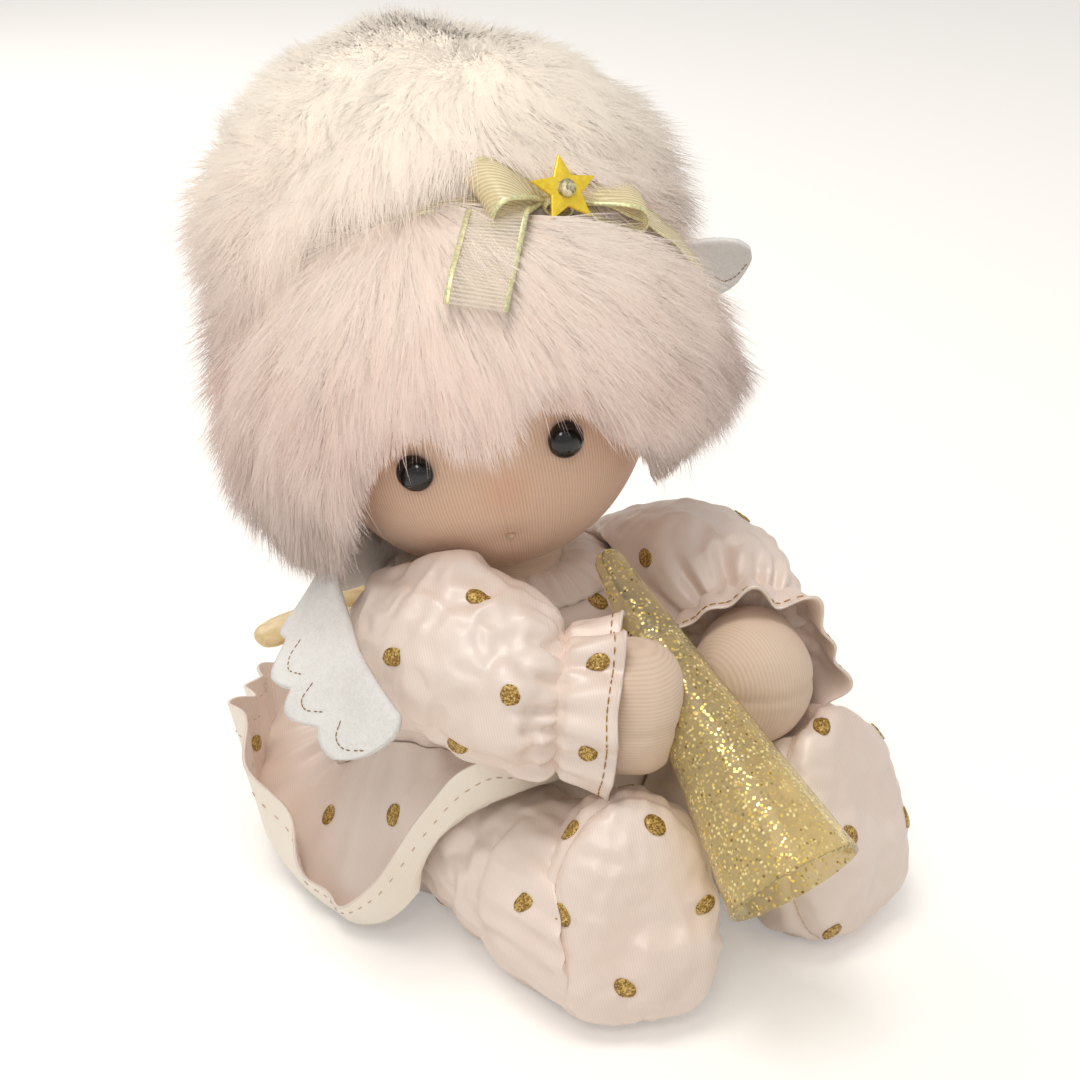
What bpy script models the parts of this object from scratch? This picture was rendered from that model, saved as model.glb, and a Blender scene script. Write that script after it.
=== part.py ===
"""Musical angel doll, seated, with a wind-up movement in the body that sways the head.

The doll faces -Y and sits on z = 0.  Its right side is -X.  Lengths are metres.
"""

import math

import bmesh
import bpy
from mathutils import Matrix, Vector

MM = 0.001
DEG = math.pi / 180.0

# Clearances and stock
SEAT_GAP = 0.3 * MM
RUN_GAP = 0.35 * MM
CLOTH = 0.9 * MM
LIMB_SIDES = 18
TURNED_SIDES = 24

# Stuffed body
TORSO_HEIGHT = 70.0 * MM
TORSO_HALF_WIDTH = 42.0 * MM
TORSO_HALF_DEPTH = 38.0 * MM
TORSO_SIDES = 24
NECK_OPENING_WIDTH = 22.0 * MM
NECK_OPENING_DEPTH = 30.0 * MM
COLLAR_GAP = 1.2 * MM
COLLAR_WIDTH = 4.5 * MM
LAP_CLEARANCE = 2.6 * MM
WAIST_BELOW_SHAFT = 3.6 * MM
BODICE_BELOW_NECK = 2.4 * MM
BODICE_TOP = TORSO_HEIGHT - BODICE_BELOW_NECK

# Legs and feet
LEG_SPREAD = 27.5 * MM
LEG_RADIUS = 18.3 * MM
LEG_FLAT = 0.5 * MM
LEG_REACH = 61.0 * MM
FOOT_HALF_WIDTH_RIGHT = 19.0 * MM
FOOT_HALF_WIDTH_LEFT = 21.5 * MM
FOOT_HALF_HEIGHT_RIGHT = 25.0 * MM
FOOT_HALF_HEIGHT_LEFT = 26.5 * MM
FOOT_DEPTH = 26.0 * MM
FOOT_TIP_BACK = 18.0 * DEG
FOOT_SPLAY_RIGHT = 28.0 * DEG
FOOT_SPLAY_LEFT = 8.0 * DEG
FOOT_SPREAD_RIGHT = 23.5 * MM
FOOT_SPREAD_LEFT = 29.0 * MM
FOOT_REACH_RIGHT = 68.0 * MM
FOOT_REACH_LEFT = 71.5 * MM

# Arms
SHOULDER_WIDTH = 31.0 * MM
SHOULDER_DROP = 11.0 * MM
SHOULDER_HEIGHT = TORSO_HEIGHT - SHOULDER_DROP
ELBOW_WIDTH_RIGHT = 35.5 * MM
ELBOW_WIDTH_LEFT = 31.5 * MM
ELBOW_REACH_RIGHT = 27.0 * MM
ELBOW_REACH_LEFT = 28.0 * MM
ELBOW_DROP_RIGHT = 0.5 * MM
ELBOW_DROP_LEFT = 4.0 * MM
SLEEVE_RADIUS_RIGHT = 19.0 * MM
SLEEVE_RADIUS_LEFT = 17.6 * MM
WRIST_WIDTH_RIGHT = 23.5 * MM
WRIST_WIDTH_LEFT = 26.5 * MM
WRIST_REACH_RIGHT = 49.0 * MM
WRIST_REACH_LEFT = 50.0 * MM
WRIST_DROP_RIGHT = 7.5 * MM
WRIST_DROP_LEFT = 11.0 * MM
WRIST_TURN_RIGHT = 42.0 * DEG
WRIST_TURN_LEFT = 50.0 * DEG
WRIST_DIP_RIGHT = 4.0 * DEG
WRIST_DIP_LEFT = 9.0 * DEG
WRIST_RADIUS = 12.5 * MM
RUFFLE_LENGTH = 8.0 * MM
RUFFLE_FLARE = 2.4 * MM
RUFFLE_WAVES = 8
HAND_LENGTH = 24.0 * MM
HAND_RADIUS = 13.6 * MM

# Flared peplum
HEM_RADIUS = 60.0 * MM
HEM_FLIP = 5.0 * MM
PEPLUM_SIDES = 2 * TORSO_SIDES

# Horn
HORN_LENGTH = 80.0 * MM
HORN_BELL_RADIUS = 14.4 * MM
HORN_TIP_RADIUS = 2.9 * MM
HORN_WALL = 1.3 * MM
HORN_DIP = 35.1 * DEG
HORN_TURN = 6.2 * DEG
HORN_BELL_SIDE = -7.0 * MM
HORN_BELL_REACH = 97.6 * MM
HORN_BELL_DROP = 33.4 * MM
HORN_BELL_HEIGHT = TORSO_HEIGHT - HORN_BELL_DROP
HORN_SIDES = 24

# Felt wings
WING_FELT = 1.6 * MM
WING_ROOT_GAP = 6.0 * MM
WING_ROOT_RISE = 3.0 * MM
WING_ROOT_HEIGHT = TORSO_HEIGHT + WING_ROOT_RISE
WING_ROOT_CHORD = 22.0 * MM
# Edge curves in millimetres from the root: the right wing droops round the arm, the left one stands up
WING_LEADING = {-1: ((-35, -24, 14), (-47, -46, 6), (-51, -59, 2), (-52, -71, -3)),
                1: ((26, 15, 27), (51, 7, 44), (72, -7, 53), (82, -16, 53))}
WING_TRAILING = {-1: ((-38, -12, -6), (-57, -31, -7), (-61, -45, -11), (-60, -62, -14)),
                 1: ((30, 15, 1), (58, 11, 15), (77, -1, 31), (86, -13, 45))}
WING_SCALLOPS = 5
WING_SCALLOP_DEPTH = 0.2

# Head
HEAD_RADIUS = 36.5 * MM
NECK_LENGTH = 7.0 * MM
HEAD_TURN = -34.0 * DEG
HEAD_TIP_BACK = 7.0 * DEG
EYE_RADIUS = 3.9 * MM
EYE_DOME = 2.8 * MM
EYE_SPACING = 30.5 * MM
EYE_LATITUDE = -0.4 * DEG
EYE_SHANK_RADIUS = 1.5 * MM
EYE_SHANK_LENGTH = 8.0 * MM
EYE_WASHER_RADIUS = 5.0 * MM
EYE_WASHER_THICKNESS = 1.2 * MM

# Hair, ribbon and star
FRINGE_DEPTH = 12.0 * MM
FRINGE_EDGE = 14.0 * MM
CURTAIN_DROP = 13.0 * MM
PUFF_DEPTH = 11.0 * MM
PUFF_RISE = 70.0 * MM
FACE_HALF_WIDTH = 31.0 * MM
BAND_WIDTH = 8.0 * MM
BAND_THICKNESS = 0.8 * MM
BAND_TIP = 17.5 * DEG
BAND_END = 12.0 * DEG
BOW_ANGLE = 60.0 * DEG
RIBBON_WIDTH = 13.0 * MM
RIBBON_THICKNESS = 0.7 * MM
LOOP_LENGTH = 15.0 * MM
LOOP_HEIGHT = 8.0 * MM
TAIL_LENGTH = 28.0 * MM
KNOT_LENGTH = 7.0 * MM
KNOT_HEIGHT = 4.5 * MM
STAR_RADIUS = 7.4 * MM
STAR_THICKNESS = 1.2 * MM
STAR_LEAN = 38.0 * DEG
STUD_RADIUS = 1.9 * MM

# Movement
CASE_WALL = 1.5 * MM
CASE_DEPTH = 26.0 * MM
CASE_FRONT = -6.0 * MM
CASE_BELOW_NECK = 30.0 * MM
CASE_HEIGHT = TORSO_HEIGHT - CASE_BELOW_NECK
BARREL_OFFSET = 7.0 * MM
TRAIN_MODULE = 0.6 * MM
FLY_MODULE = 0.5 * MM
BARREL_TEETH = 40
CYLINDER_PINION_TEETH = 16
CYLINDER_WHEEL_TEETH = 30
GOVERNOR_PINION_TEETH = 10
GOVERNOR_WHEEL_TEETH = 30
FLY_PINION_TEETH = 8
PRESSURE_ANGLE = 28.0 * DEG
BACKLASH = 0.12 * MM
GEAR_FACE = 1.6 * MM
BARREL_RADIUS = 9.2 * MM
BARREL_WALL = 1.1 * MM
CYLINDER_RADIUS = 6.5 * MM
CYLINDER_LENGTH = 9.4 * MM
CYLINDER_PIN = 0.4 * MM
SHAFT_RADIUS = 1.2 * MM
ARBOR_RADIUS = 2.2 * MM
BEDPLATE_THICKNESS = 2.0 * MM
SPRING_STRIP = 0.45 * MM
SPRING_TURNS = 4
COMB_LENGTH = 11.0 * MM
COMB_THICKNESS = 1.0 * MM
COMB_TEETH = 12
FLY_RADIUS = 3.8 * MM
SCREW_RADIUS = 1.1 * MM

# Head drive
CRANK_THROW = 2.9 * MM
CRANK_DISC_RADIUS = 5.4 * MM
CRANK_DISC_THICKNESS = 2.0 * MM
CRANK_PIN_RADIUS = 1.0 * MM
CRANK_PIN_LENGTH = 2.2 * MM
LEVER_THICKNESS = 1.8 * MM
LEVER_WIDTH = 6.0 * MM
LEVER_OPEN_GAP = 0.4 * MM
PIVOT_RISE = 26.5 * MM
PIVOT_HEIGHT = CASE_HEIGHT + PIVOT_RISE
PIVOT_EDGE = 2.3 * MM
PIVOT_PIN_RADIUS = 1.0 * MM
BRACKET_WIDTH = 11.0 * MM
BRACKET_THICKNESS = 2.0 * MM
ROD_RADIUS = 1.1 * MM
ROD_DEPTH_IN_HEAD = 34.0 * MM

# Winding key
KEY_REACH = 73.0 * MM
KEY_HALF_SPAN = 18.5 * MM
KEY_BOW_DEPTH = 14.0 * MM
KEY_BOW_THICKNESS = 4.4 * MM
KEY_HUB_RADIUS = 4.4 * MM
KEY_HUB_LENGTH = 9.0 * MM
KEY_REST = -9.0 * DEG

# Sizes by side: -1 is the right, 1 the left
FOOT_HALF_WIDTH = {-1: FOOT_HALF_WIDTH_RIGHT, 1: FOOT_HALF_WIDTH_LEFT}
FOOT_HALF_HEIGHT = {-1: FOOT_HALF_HEIGHT_RIGHT, 1: FOOT_HALF_HEIGHT_LEFT}
FOOT_SPLAY = {-1: FOOT_SPLAY_RIGHT, 1: FOOT_SPLAY_LEFT}
FOOT_SPREAD = {-1: FOOT_SPREAD_RIGHT, 1: FOOT_SPREAD_LEFT}
FOOT_REACH = {-1: FOOT_REACH_RIGHT, 1: FOOT_REACH_LEFT}
ELBOW_WIDTH = {-1: ELBOW_WIDTH_RIGHT, 1: ELBOW_WIDTH_LEFT}
ELBOW_REACH = {-1: ELBOW_REACH_RIGHT, 1: ELBOW_REACH_LEFT}
ELBOW_HEIGHT = {-1: TORSO_HEIGHT - ELBOW_DROP_RIGHT, 1: TORSO_HEIGHT - ELBOW_DROP_LEFT}
SLEEVE_RADIUS = {-1: SLEEVE_RADIUS_RIGHT, 1: SLEEVE_RADIUS_LEFT}
WRIST_WIDTH = {-1: WRIST_WIDTH_RIGHT, 1: WRIST_WIDTH_LEFT}
WRIST_REACH = {-1: WRIST_REACH_RIGHT, 1: WRIST_REACH_LEFT}
WRIST_HEIGHT = {-1: TORSO_HEIGHT - WRIST_DROP_RIGHT, 1: TORSO_HEIGHT - WRIST_DROP_LEFT}
WRIST_TURN = {-1: WRIST_TURN_RIGHT, 1: WRIST_TURN_LEFT}
WRIST_DIP = {-1: WRIST_DIP_RIGHT, 1: WRIST_DIP_LEFT}

X_AXIS = Vector((1.0, 0.0, 0.0))
Y_AXIS = Vector((0.0, 1.0, 0.0))
Z_AXIS = Vector((0.0, 0.0, 1.0))
ORIGIN = Vector((0.0, 0.0, 0.0))

# Name: colour, roughness, metallic
FINISHES = {
    "satin": ((0.90, 0.77, 0.71, 1.0), 0.38, 0.0),
    "knit": ((0.76, 0.53, 0.39, 1.0), 0.85, 0.0),
    "fur": ((0.91, 0.74, 0.68, 1.0), 0.8, 0.0),
    "felt": ((0.82, 0.82, 0.80, 1.0), 0.9, 0.0),
    "horn_plastic": ((0.69, 0.55, 0.27, 1.0), 0.3, 0.0),
    "eye_plastic": ((0.01, 0.01, 0.01, 1.0), 0.08, 0.0),
    "organza": ((0.85, 0.80, 0.66, 1.0), 0.45, 0.0),
    "gilt": ((0.83, 0.60, 0.05, 1.0), 0.3, 1.0),
    "key_plastic": ((0.81, 0.58, 0.25, 1.0), 0.35, 0.0),
    "case_plastic": ((0.75, 0.75, 0.72, 1.0), 0.5, 0.0),
    "brass": ((0.71, 0.49, 0.18, 1.0), 0.3, 1.0),
    "steel": ((0.56, 0.57, 0.58, 1.0), 0.3, 1.0),
}


def make_finish(name):
    """Make a Principled material from the finish table."""
    colour, roughness, metallic = FINISHES[name]
    look = bpy.data.materials.new(name)
    look.use_nodes = True
    shader = look.node_tree.nodes["Principled BSDF"]
    shader.inputs["Base Color"].default_value = colour
    shader.inputs["Roughness"].default_value = roughness
    shader.inputs["Metallic"].default_value = metallic
    return look


def publish(bm, name, finish=None, origin=ORIGIN):
    """Turn a bmesh into an object with its origin on its joint; no finish makes a cutter."""
    bmesh.ops.recalc_face_normals(bm, faces=bm.faces)
    bmesh.ops.translate(bm, vec=-origin, verts=bm.verts)
    mesh = bpy.data.meshes.new(name)
    bm.to_mesh(mesh)
    bm.free()
    mesh.shade_smooth()
    piece = bpy.data.objects.new(name, mesh)
    piece.location = origin
    bpy.context.collection.objects.link(piece)
    if finish is None:
        piece.hide_render = True
        piece.display_type = "WIRE"
    else:
        mesh.set_sharp_from_angle(angle=40.0 * DEG)
        mesh.materials.append(bpy.data.materials.get(finish) or make_finish(finish))
    return piece


def boolean(piece, tools, operation, solver="EXACT"):
    """Leave one Boolean modifier on the piece for each tool."""
    for tool in tools:
        modifier = piece.modifiers.new(tool.name, "BOOLEAN")
        modifier.operation = operation
        modifier.solver = solver
        modifier.object = tool


def cut(piece, *tools):
    """Take the tools out of the piece."""
    boolean(piece, tools, "DIFFERENCE")


def cut_soft(piece, *tools):
    """Take the tools out of a soft form whose folds the exact solver can't sort."""
    boolean(piece, tools, "DIFFERENCE", "MANIFOLD")


def join(piece, *tools):
    """Add the tools to the piece."""
    boolean(piece, tools, "UNION")


def bridge(bm, low, high):
    """Fill between two rings of vertices, either of which may be a single point."""
    count = max(len(low), len(high))
    for i in range(count):
        j = (i + 1) % count
        corners = [low[i % len(low)], low[j % len(low)], high[j % len(high)], high[i % len(high)]]
        bm.faces.new(list(dict.fromkeys(corners)))


def loft(rings, closed=False):
    """Join rings of points into one closed body, as a ring-shaped one if closed."""
    bm = bmesh.new()
    rows = [[bm.verts.new(point) for point in ring] for ring in rings]
    for low, high in zip(rows, rows[1:]):
        bridge(bm, low, high)
    if closed:
        bridge(bm, rows[-1], rows[0])
    else:
        for row in (rows[0], rows[-1]):
            if len(row) > 2:
                bm.faces.new(row)
    return bm


def place(origin, z_dir, x_hint=X_AXIS):
    """Matrix of a frame at origin whose Z runs along z_dir and whose X leans to x_hint."""
    z = z_dir.normalized()
    y = z.cross(x_hint).normalized()
    x = y.cross(z)
    return Matrix.Translation(origin) @ Matrix((x, y, z)).transposed().to_4x4()


def turned(profile, frame, sides=TURNED_SIDES, closed=False):
    """Spin (height, radius) pairs round the frame's Z axis."""
    rings = []
    for height, radius in profile:
        turns = range(sides) if radius > 0.0 else range(1)
        rings.append([
            frame @ Vector((radius * math.cos(2 * math.pi * i / sides),
                            radius * math.sin(2 * math.pi * i / sides), height))
            for i in turns
        ])
    return loft(rings, closed)


def rod(start, end, radius, sides=12):
    """Round bar between two points."""
    length = (end - start).length
    hint = Y_AXIS if abs((end - start).normalized().x) > 0.9 else X_AXIS
    return turned([(0.0, radius), (length, radius)], place(start, end - start, hint), sides)


def prism(outline, start, end):
    """Body with an (x, z) outline between two heights along Y."""
    return loft([[Vector((x, y, z)) for x, z in outline] for y in (start, end)])


def box(low, high):
    """Block between two corners."""
    outline = [(low.x, low.z), (high.x, low.z), (high.x, high.z), (low.x, high.z)]
    return prism(outline, low.y, high.y)


def ellipsoid(frame, half, sides=24, rows=14):
    """Ellipsoid with the given half sizes in a frame."""
    stretch = frame @ Matrix.Diagonal((*half, 1.0))
    steps = [math.pi * i / rows for i in range(rows + 1)]
    return turned([(-math.cos(a), math.sin(a) if 0 < a < math.pi * 0.999 else 0.0) for a in steps],
                  stretch, sides)


def along(stations, count):
    """Smooth run of (centre, half width, half height) stations, count per span."""
    dense = []
    last = len(stations) - 1
    for k in range(last):
        p = [stations[max(0, min(last, k + d))] for d in (-1, 0, 1, 2)]
        for i in range(count):
            t = i / count
            w = (-t + 2 * t * t - t ** 3, 2 - 5 * t * t + 3 * t ** 3,
                 t + 4 * t * t - 3 * t ** 3, -t * t + t ** 3)
            centre = sum((q[0] * (0.5 * f) for q, f in zip(p, w)), Vector())
            sizes = [sum(q[j] * 0.5 * f for q, f in zip(p, w)) for j in (1, 2)]
            dense.append((centre, *sizes))
    dense.append(stations[-1])
    return dense


def limb(stations, grow=0.0, floor=None, end_dir=None):
    """Soft limb round a spine of stations, grown all over, pressed flat at the floor."""
    rings = []
    last = len(stations) - 1
    sides = LIMB_SIDES
    for k, (centre, wide, tall) in enumerate(stations):
        ahead = stations[min(last, k + 1)][0] - stations[max(0, k - 1)][0]
        if end_dir is not None and k > last - 3:
            ahead = end_dir.copy()
        ahead.normalize()
        side = ahead.cross(Z_AXIS).normalized()
        rise = side.cross(ahead)
        push = grow * ((k == last) - (k == 0))
        ring = []
        for i in range(sides):
            a = 2 * math.pi * i / sides
            point = (centre + ahead * push + side * ((wide + grow) * math.cos(a))
                     + rise * ((tall + grow) * math.sin(a)))
            if floor is not None:
                point.z = max(point.z, floor)
            ring.append(point)
        rings.append(ring)
    return loft(rings)


def mix(table, key):
    """Value at a key, eased between the rows of a two-column table."""
    rows = sorted(table)
    if key <= rows[0][0]:
        return rows[0][1]
    for (k0, v0), (k1, v1) in zip(rows, rows[1:]):
        if key <= k1:
            t = (key - k0) / (k1 - k0)
            return v0 + (v1 - v0) * t * t * (3 - 2 * t)
    return rows[-1][1]


# Share of height: share of half width, share of half depth
TORSO_FORM = ((0.0, 0.84, 0.84), (0.04, 0.93, 0.93), (0.14, 0.99, 0.99), (0.28, 1.0, 1.0),
              (0.45, 0.96, 0.97), (0.62, 0.88, 0.91), (0.78, 0.78, 0.82), (0.9, 0.66, 0.71),
              (1.0, 0.5, 0.56))


# The waist seam clears the lap in front
WAIST_BACK = CASE_HEIGHT - BARREL_OFFSET - ARBOR_RADIUS - 2 * RUN_GAP - WAIST_BELOW_SHAFT
WAIST_FRONT = 2 * LEG_RADIUS - LEG_FLAT + LAP_CLEARANCE + 2 * CLOTH + 2 * SEAT_GAP


def torso_half(z):
    """Half width and half depth of the stuffed body at a height."""
    share = z / TORSO_HEIGHT
    wide = TORSO_HALF_WIDTH * mix([(row[0], row[1]) for row in TORSO_FORM], share)
    deep = TORSO_HALF_DEPTH * mix([(row[0], row[2]) for row in TORSO_FORM], share)
    return wide, deep


def torso_point(angle, z, out=0.0):
    """Point on the body at an angle from the front, moved out level."""
    wide, deep = torso_half(z)
    return Vector(((wide + out) * math.sin(angle), -(deep + out) * math.cos(angle), z))


def waist_height(angle):
    """Height of the waist seam, which is higher over the lap."""
    lap = mix([(-0.35, 0.0), (0.3, 1.0)], math.cos(angle))
    return WAIST_BACK + (WAIST_FRONT - WAIST_BACK) * lap


# Axes of the movement, all along Y
BARREL_AXIS = Vector((-BARREL_OFFSET, 0.0, CASE_HEIGHT - BARREL_OFFSET))
CYLINDER_DISTANCE = (BARREL_TEETH + CYLINDER_PINION_TEETH) * TRAIN_MODULE / 2
CYLINDER_AXIS = BARREL_AXIS + Vector(
    (BARREL_OFFSET, 0.0, math.sqrt(CYLINDER_DISTANCE ** 2 - BARREL_OFFSET ** 2)))
GOVERNOR_DISTANCE = (CYLINDER_WHEEL_TEETH + GOVERNOR_PINION_TEETH) * TRAIN_MODULE / 2
GOVERNOR_ANGLE = 185.0 * DEG
GOVERNOR_AXIS = CYLINDER_AXIS + GOVERNOR_DISTANCE * Vector(
    (math.cos(GOVERNOR_ANGLE), 0.0, math.sin(GOVERNOR_ANGLE)))
FLY_DISTANCE = (GOVERNOR_WHEEL_TEETH + FLY_PINION_TEETH) * FLY_MODULE / 2
FLY_ANGLE = 75.0 * DEG
FLY_AXIS = GOVERNOR_AXIS + FLY_DISTANCE * Vector((math.cos(FLY_ANGLE), 0.0, math.sin(FLY_ANGLE)))
CASE_CENTRE = Vector((0.0, 0.0, CASE_HEIGHT))
ADDENDUM = 0.8
DEDENDUM = 1.2


def tip_radius(teeth, module):
    """Outer radius of a spur gear."""
    return teeth * module / 2 + ADDENDUM * module


CASE_INNER_RADIUS = 2 * RUN_GAP + max(
    (BARREL_AXIS - CASE_CENTRE).length + tip_radius(BARREL_TEETH, TRAIN_MODULE),
    (GOVERNOR_AXIS - CASE_CENTRE).length + tip_radius(GOVERNOR_WHEEL_TEETH, FLY_MODULE),
    (FLY_AXIS - CASE_CENTRE).length + FLY_RADIUS)
CASE_RADIUS = CASE_INNER_RADIUS + CASE_WALL
CASE_BACK = CASE_FRONT + CASE_DEPTH
CASE_FLOOR = CASE_FRONT + CASE_WALL
GOVERNOR_PLANE = CASE_FLOOR + 2 * RUN_GAP
CYLINDER_START = GOVERNOR_PLANE + GEAR_FACE + 2 * RUN_GAP
PINION_START = CYLINDER_START + CYLINDER_LENGTH
WHEEL_START = PINION_START + GEAR_FACE + 3 * RUN_GAP
BEDPLATE_START = WHEEL_START + GEAR_FACE + 2 * RUN_GAP
LEVER_BACK = (CASE_FRONT - RUN_GAP - CRANK_DISC_THICKNESS - CRANK_PIN_LENGTH - LEVER_OPEN_GAP)
LEVER_FRONT = LEVER_BACK - LEVER_THICKNESS
PIVOT = Vector((0.0, (LEVER_FRONT + LEVER_BACK) / 2, PIVOT_HEIGHT))
SWAY_REST = -math.asin(CRANK_THROW / (PIVOT_HEIGHT - CYLINDER_AXIS.z))
SWAY = Matrix.Translation(PIVOT) @ Matrix.Rotation(SWAY_REST, 4, "Y") @ Matrix.Translation(-PIVOT)
LEVER_END = CYLINDER_AXIS.z - CRANK_THROW - 4.0 * MM
HEAD_CENTRE = SWAY @ Vector((0.0, 0.0, PIVOT_HEIGHT + NECK_LENGTH + HEAD_RADIUS))
ROD_AXIS = (SWAY.to_3x3() @ Z_AXIS).normalized()
HEAD_FRAME = (Matrix.Translation(HEAD_CENTRE) @ SWAY.to_3x3().to_4x4()
              @ Matrix.Rotation(-HEAD_TIP_BACK, 4, "X") @ Matrix.Rotation(HEAD_TURN, 4, "Z"))
HORN_AXIS = Vector((math.sin(HORN_TURN) * math.cos(HORN_DIP), math.cos(HORN_TURN) * math.cos(HORN_DIP),
                    math.sin(HORN_DIP)))
HORN_BELL = Vector((HORN_BELL_SIDE, -HORN_BELL_REACH, HORN_BELL_HEIGHT))


def gear_outline(axis, teeth, module, phase):
    """Outline of a spur gear whose straight flanks lie inside the involute."""
    pitch = teeth * module / 2
    base = pitch * math.cos(PRESSURE_ANGLE)
    tip = tip_radius(teeth, module)
    root = pitch - DEDENDUM * module

    def spread(radius):
        """Involute angle at a radius."""
        lean = math.acos(min(1.0, base / max(radius, base)))
        return math.tan(lean) - lean

    half_pitch = math.pi / (2 * teeth) - BACKLASH / (2 * pitch) + spread(pitch)
    outline = []
    for tooth in range(teeth):
        middle = phase + 2 * math.pi * tooth / teeth
        for radius, sign in ((root, -1), (tip, -1), (tip, 1), (root, 1)):
            angle = middle + sign * (half_pitch - spread(radius))
            outline.append((axis.x + radius * math.cos(angle), axis.z + radius * math.sin(angle)))
    return outline


def toward(start, end):
    """Angle in the XZ plane from one axis to another."""
    return math.atan2(end.z - start.z, end.x - start.x)


def spindle(axis, steps):
    """Coaxial round steps (y, radius) along Y as one closed body."""
    frame = place(Vector((axis.x, 0.0, axis.z)), Y_AXIS)
    return turned(steps, frame)


def plug(name, axis, start, end, radius):
    """Round cutter along Y."""
    return publish(spindle(axis, [(start, radius), (end, radius)]), name)


def leg_stations(side):
    """Spine of a leg from the hip to the ankle."""
    rise = LEG_RADIUS - LEG_FLAT
    form = ((0.0, -0.07, 0.68), (0.0, 0.03, 0.78), (0.25, 0.25, 0.98), (0.6, 0.55, 1.0),
            (0.85, 0.8, 0.93), (1.0, 1.0, 0.76))
    stations = []
    for out, reach, size in form:
        x = side * (LEG_SPREAD * (0.78 + 0.22 * out))
        stations.append((Vector((x, -LEG_REACH * reach, rise)), LEG_RADIUS * size, LEG_RADIUS * size))
    return along(stations, 2)


def foot_frame(side):
    """Frame of a foot: Z out through the sole, Y up the sole."""
    splay = FOOT_SPLAY[side]
    heading = Vector((side * math.sin(splay), -math.cos(splay), 0.0))
    normal = heading * math.cos(FOOT_TIP_BACK) + Z_AXIS * math.sin(FOOT_TIP_BACK)
    centre = Vector((side * FOOT_SPREAD[side], -FOOT_REACH[side],
                     FOOT_HALF_HEIGHT[side] * math.cos(FOOT_TIP_BACK)))
    across = normal.cross(Z_AXIS).normalized()
    return place(centre, normal, across)


def foot(side, grow=0.0):
    """Stuffed foot with a rounded sole, pressed flat at the floor."""
    frame = foot_frame(side)
    form = ((-0.5, 0.42), (-0.44, 0.66), (-0.26, 0.9), (0.0, 1.0), (0.2, 1.0), (0.36, 0.9),
            (0.46, 0.7), (0.5, 0.45))
    rings = []
    for depth, size in form:
        ring = []
        for i in range(LIMB_SIDES):
            a = 2 * math.pi * i / LIMB_SIDES
            point = frame @ Vector(((FOOT_HALF_WIDTH[side] * size + grow) * math.cos(a),
                                    (FOOT_HALF_HEIGHT[side] * size + grow) * math.sin(a),
                                    FOOT_DEPTH * depth + math.copysign(grow, depth)))
            point.z = max(point.z, -grow)
            ring.append(point)
        rings.append(ring)
    return loft(rings)


def arm_points(side):
    """Shoulder, elbow and wrist of an arm."""
    shoulder = Vector((side * SHOULDER_WIDTH, -2.0 * MM, SHOULDER_HEIGHT))
    elbow = Vector((side * ELBOW_WIDTH[side], -ELBOW_REACH[side], ELBOW_HEIGHT[side]))
    wrist = Vector((side * WRIST_WIDTH[side], -WRIST_REACH[side], WRIST_HEIGHT[side]))
    return shoulder, elbow, wrist


def wrist_heading(side):
    """Direction in which a hand leaves its cuff, inward and forward to the horn."""
    turn = WRIST_TURN[side]
    return Vector((-side * math.cos(turn), -math.sin(turn), -math.sin(WRIST_DIP[side]))).normalized()


def sleeve_stations(side):
    """Spine of a puffed sleeve from inside the shoulder to the wrist."""
    shoulder, elbow, wrist = arm_points(side)
    heading = wrist_heading(side)
    root = Vector((side * SHOULDER_WIDTH * 0.62, 2.0 * MM, shoulder.z - 2.0 * MM))
    puff = SLEEVE_RADIUS[side]
    stations = [(root, puff * 0.5, puff * 0.5), (shoulder, puff * 0.72, puff * 0.72), (elbow, puff, puff),
                (wrist - heading * (0.42 * puff), puff * 0.86, puff * 0.92), (wrist, WRIST_RADIUS, WRIST_RADIUS)]
    return along(stations, 3)


def hand_stations(side):
    """Spine of a mitten hand from the wrist to its round end."""
    wrist = arm_points(side)[2]
    heading = wrist_heading(side)
    form = ((0.0, 0.76), (0.2, 0.88), (0.45, 1.0), (0.68, 0.97), (0.85, 0.78), (0.95, 0.5), (1.0, 0.22))
    start = wrist + heading * SEAT_GAP
    return [(start + heading * (HAND_LENGTH * reach), HAND_RADIUS * size * 0.96, HAND_RADIUS * size * 1.06)
            for reach, size in form]


def ruffle(side, grow=None):
    """Gathered frill that flares from the wrist round the hand; the plain, grown form serves as a cutter."""
    wrist = arm_points(side)[2]
    heading = wrist_heading(side)
    frame = place(wrist + heading * SEAT_GAP, heading)
    sides = RUFFLE_WAVES * 4
    rings = []
    inner = HAND_RADIUS * 0.88 * 1.06 + 2 * SEAT_GAP
    if grow is not None:
        near = inner + CLOTH + 3 * grow
        wide = near + RUFFLE_FLARE + 2.6 * MM
        return turned([(-grow, near), (RUFFLE_LENGTH + grow, wide)], frame, LIMB_SIDES)
    for skin in (0, 1):
        order = (0.0, 0.5, 1.0) if skin else (1.0, 0.5, 0.0)
        for share in order:
            ring = []
            for i in range(sides):
                a = 2 * math.pi * i / sides
                wave = 1.3 * MM * share * math.sin(RUFFLE_WAVES * a)
                radius = inner + RUFFLE_FLARE * share ** 0.8 + wave + 1.3 * MM * share + skin * CLOTH
                ring.append(frame @ Vector((radius * math.cos(a), radius * math.sin(a),
                                            RUFFLE_LENGTH * share)))
            rings.append(ring)
    return loft(rings, closed=True)


def leg_top(x, y):
    """Height of the lap over a point, with cloth clearance, or no height off the legs."""
    top = 0.0
    for side in (-1, 1):
        for centre, wide, tall in leg_stations(side):
            reach = abs(y - centre.y)
            room = wide + LAP_CLEARANCE
            if reach < 6.0 * MM and abs(x - centre.x) < room:
                top = max(top, centre.z + math.sqrt(room ** 2 - (x - centre.x) ** 2))
    return top


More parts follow.
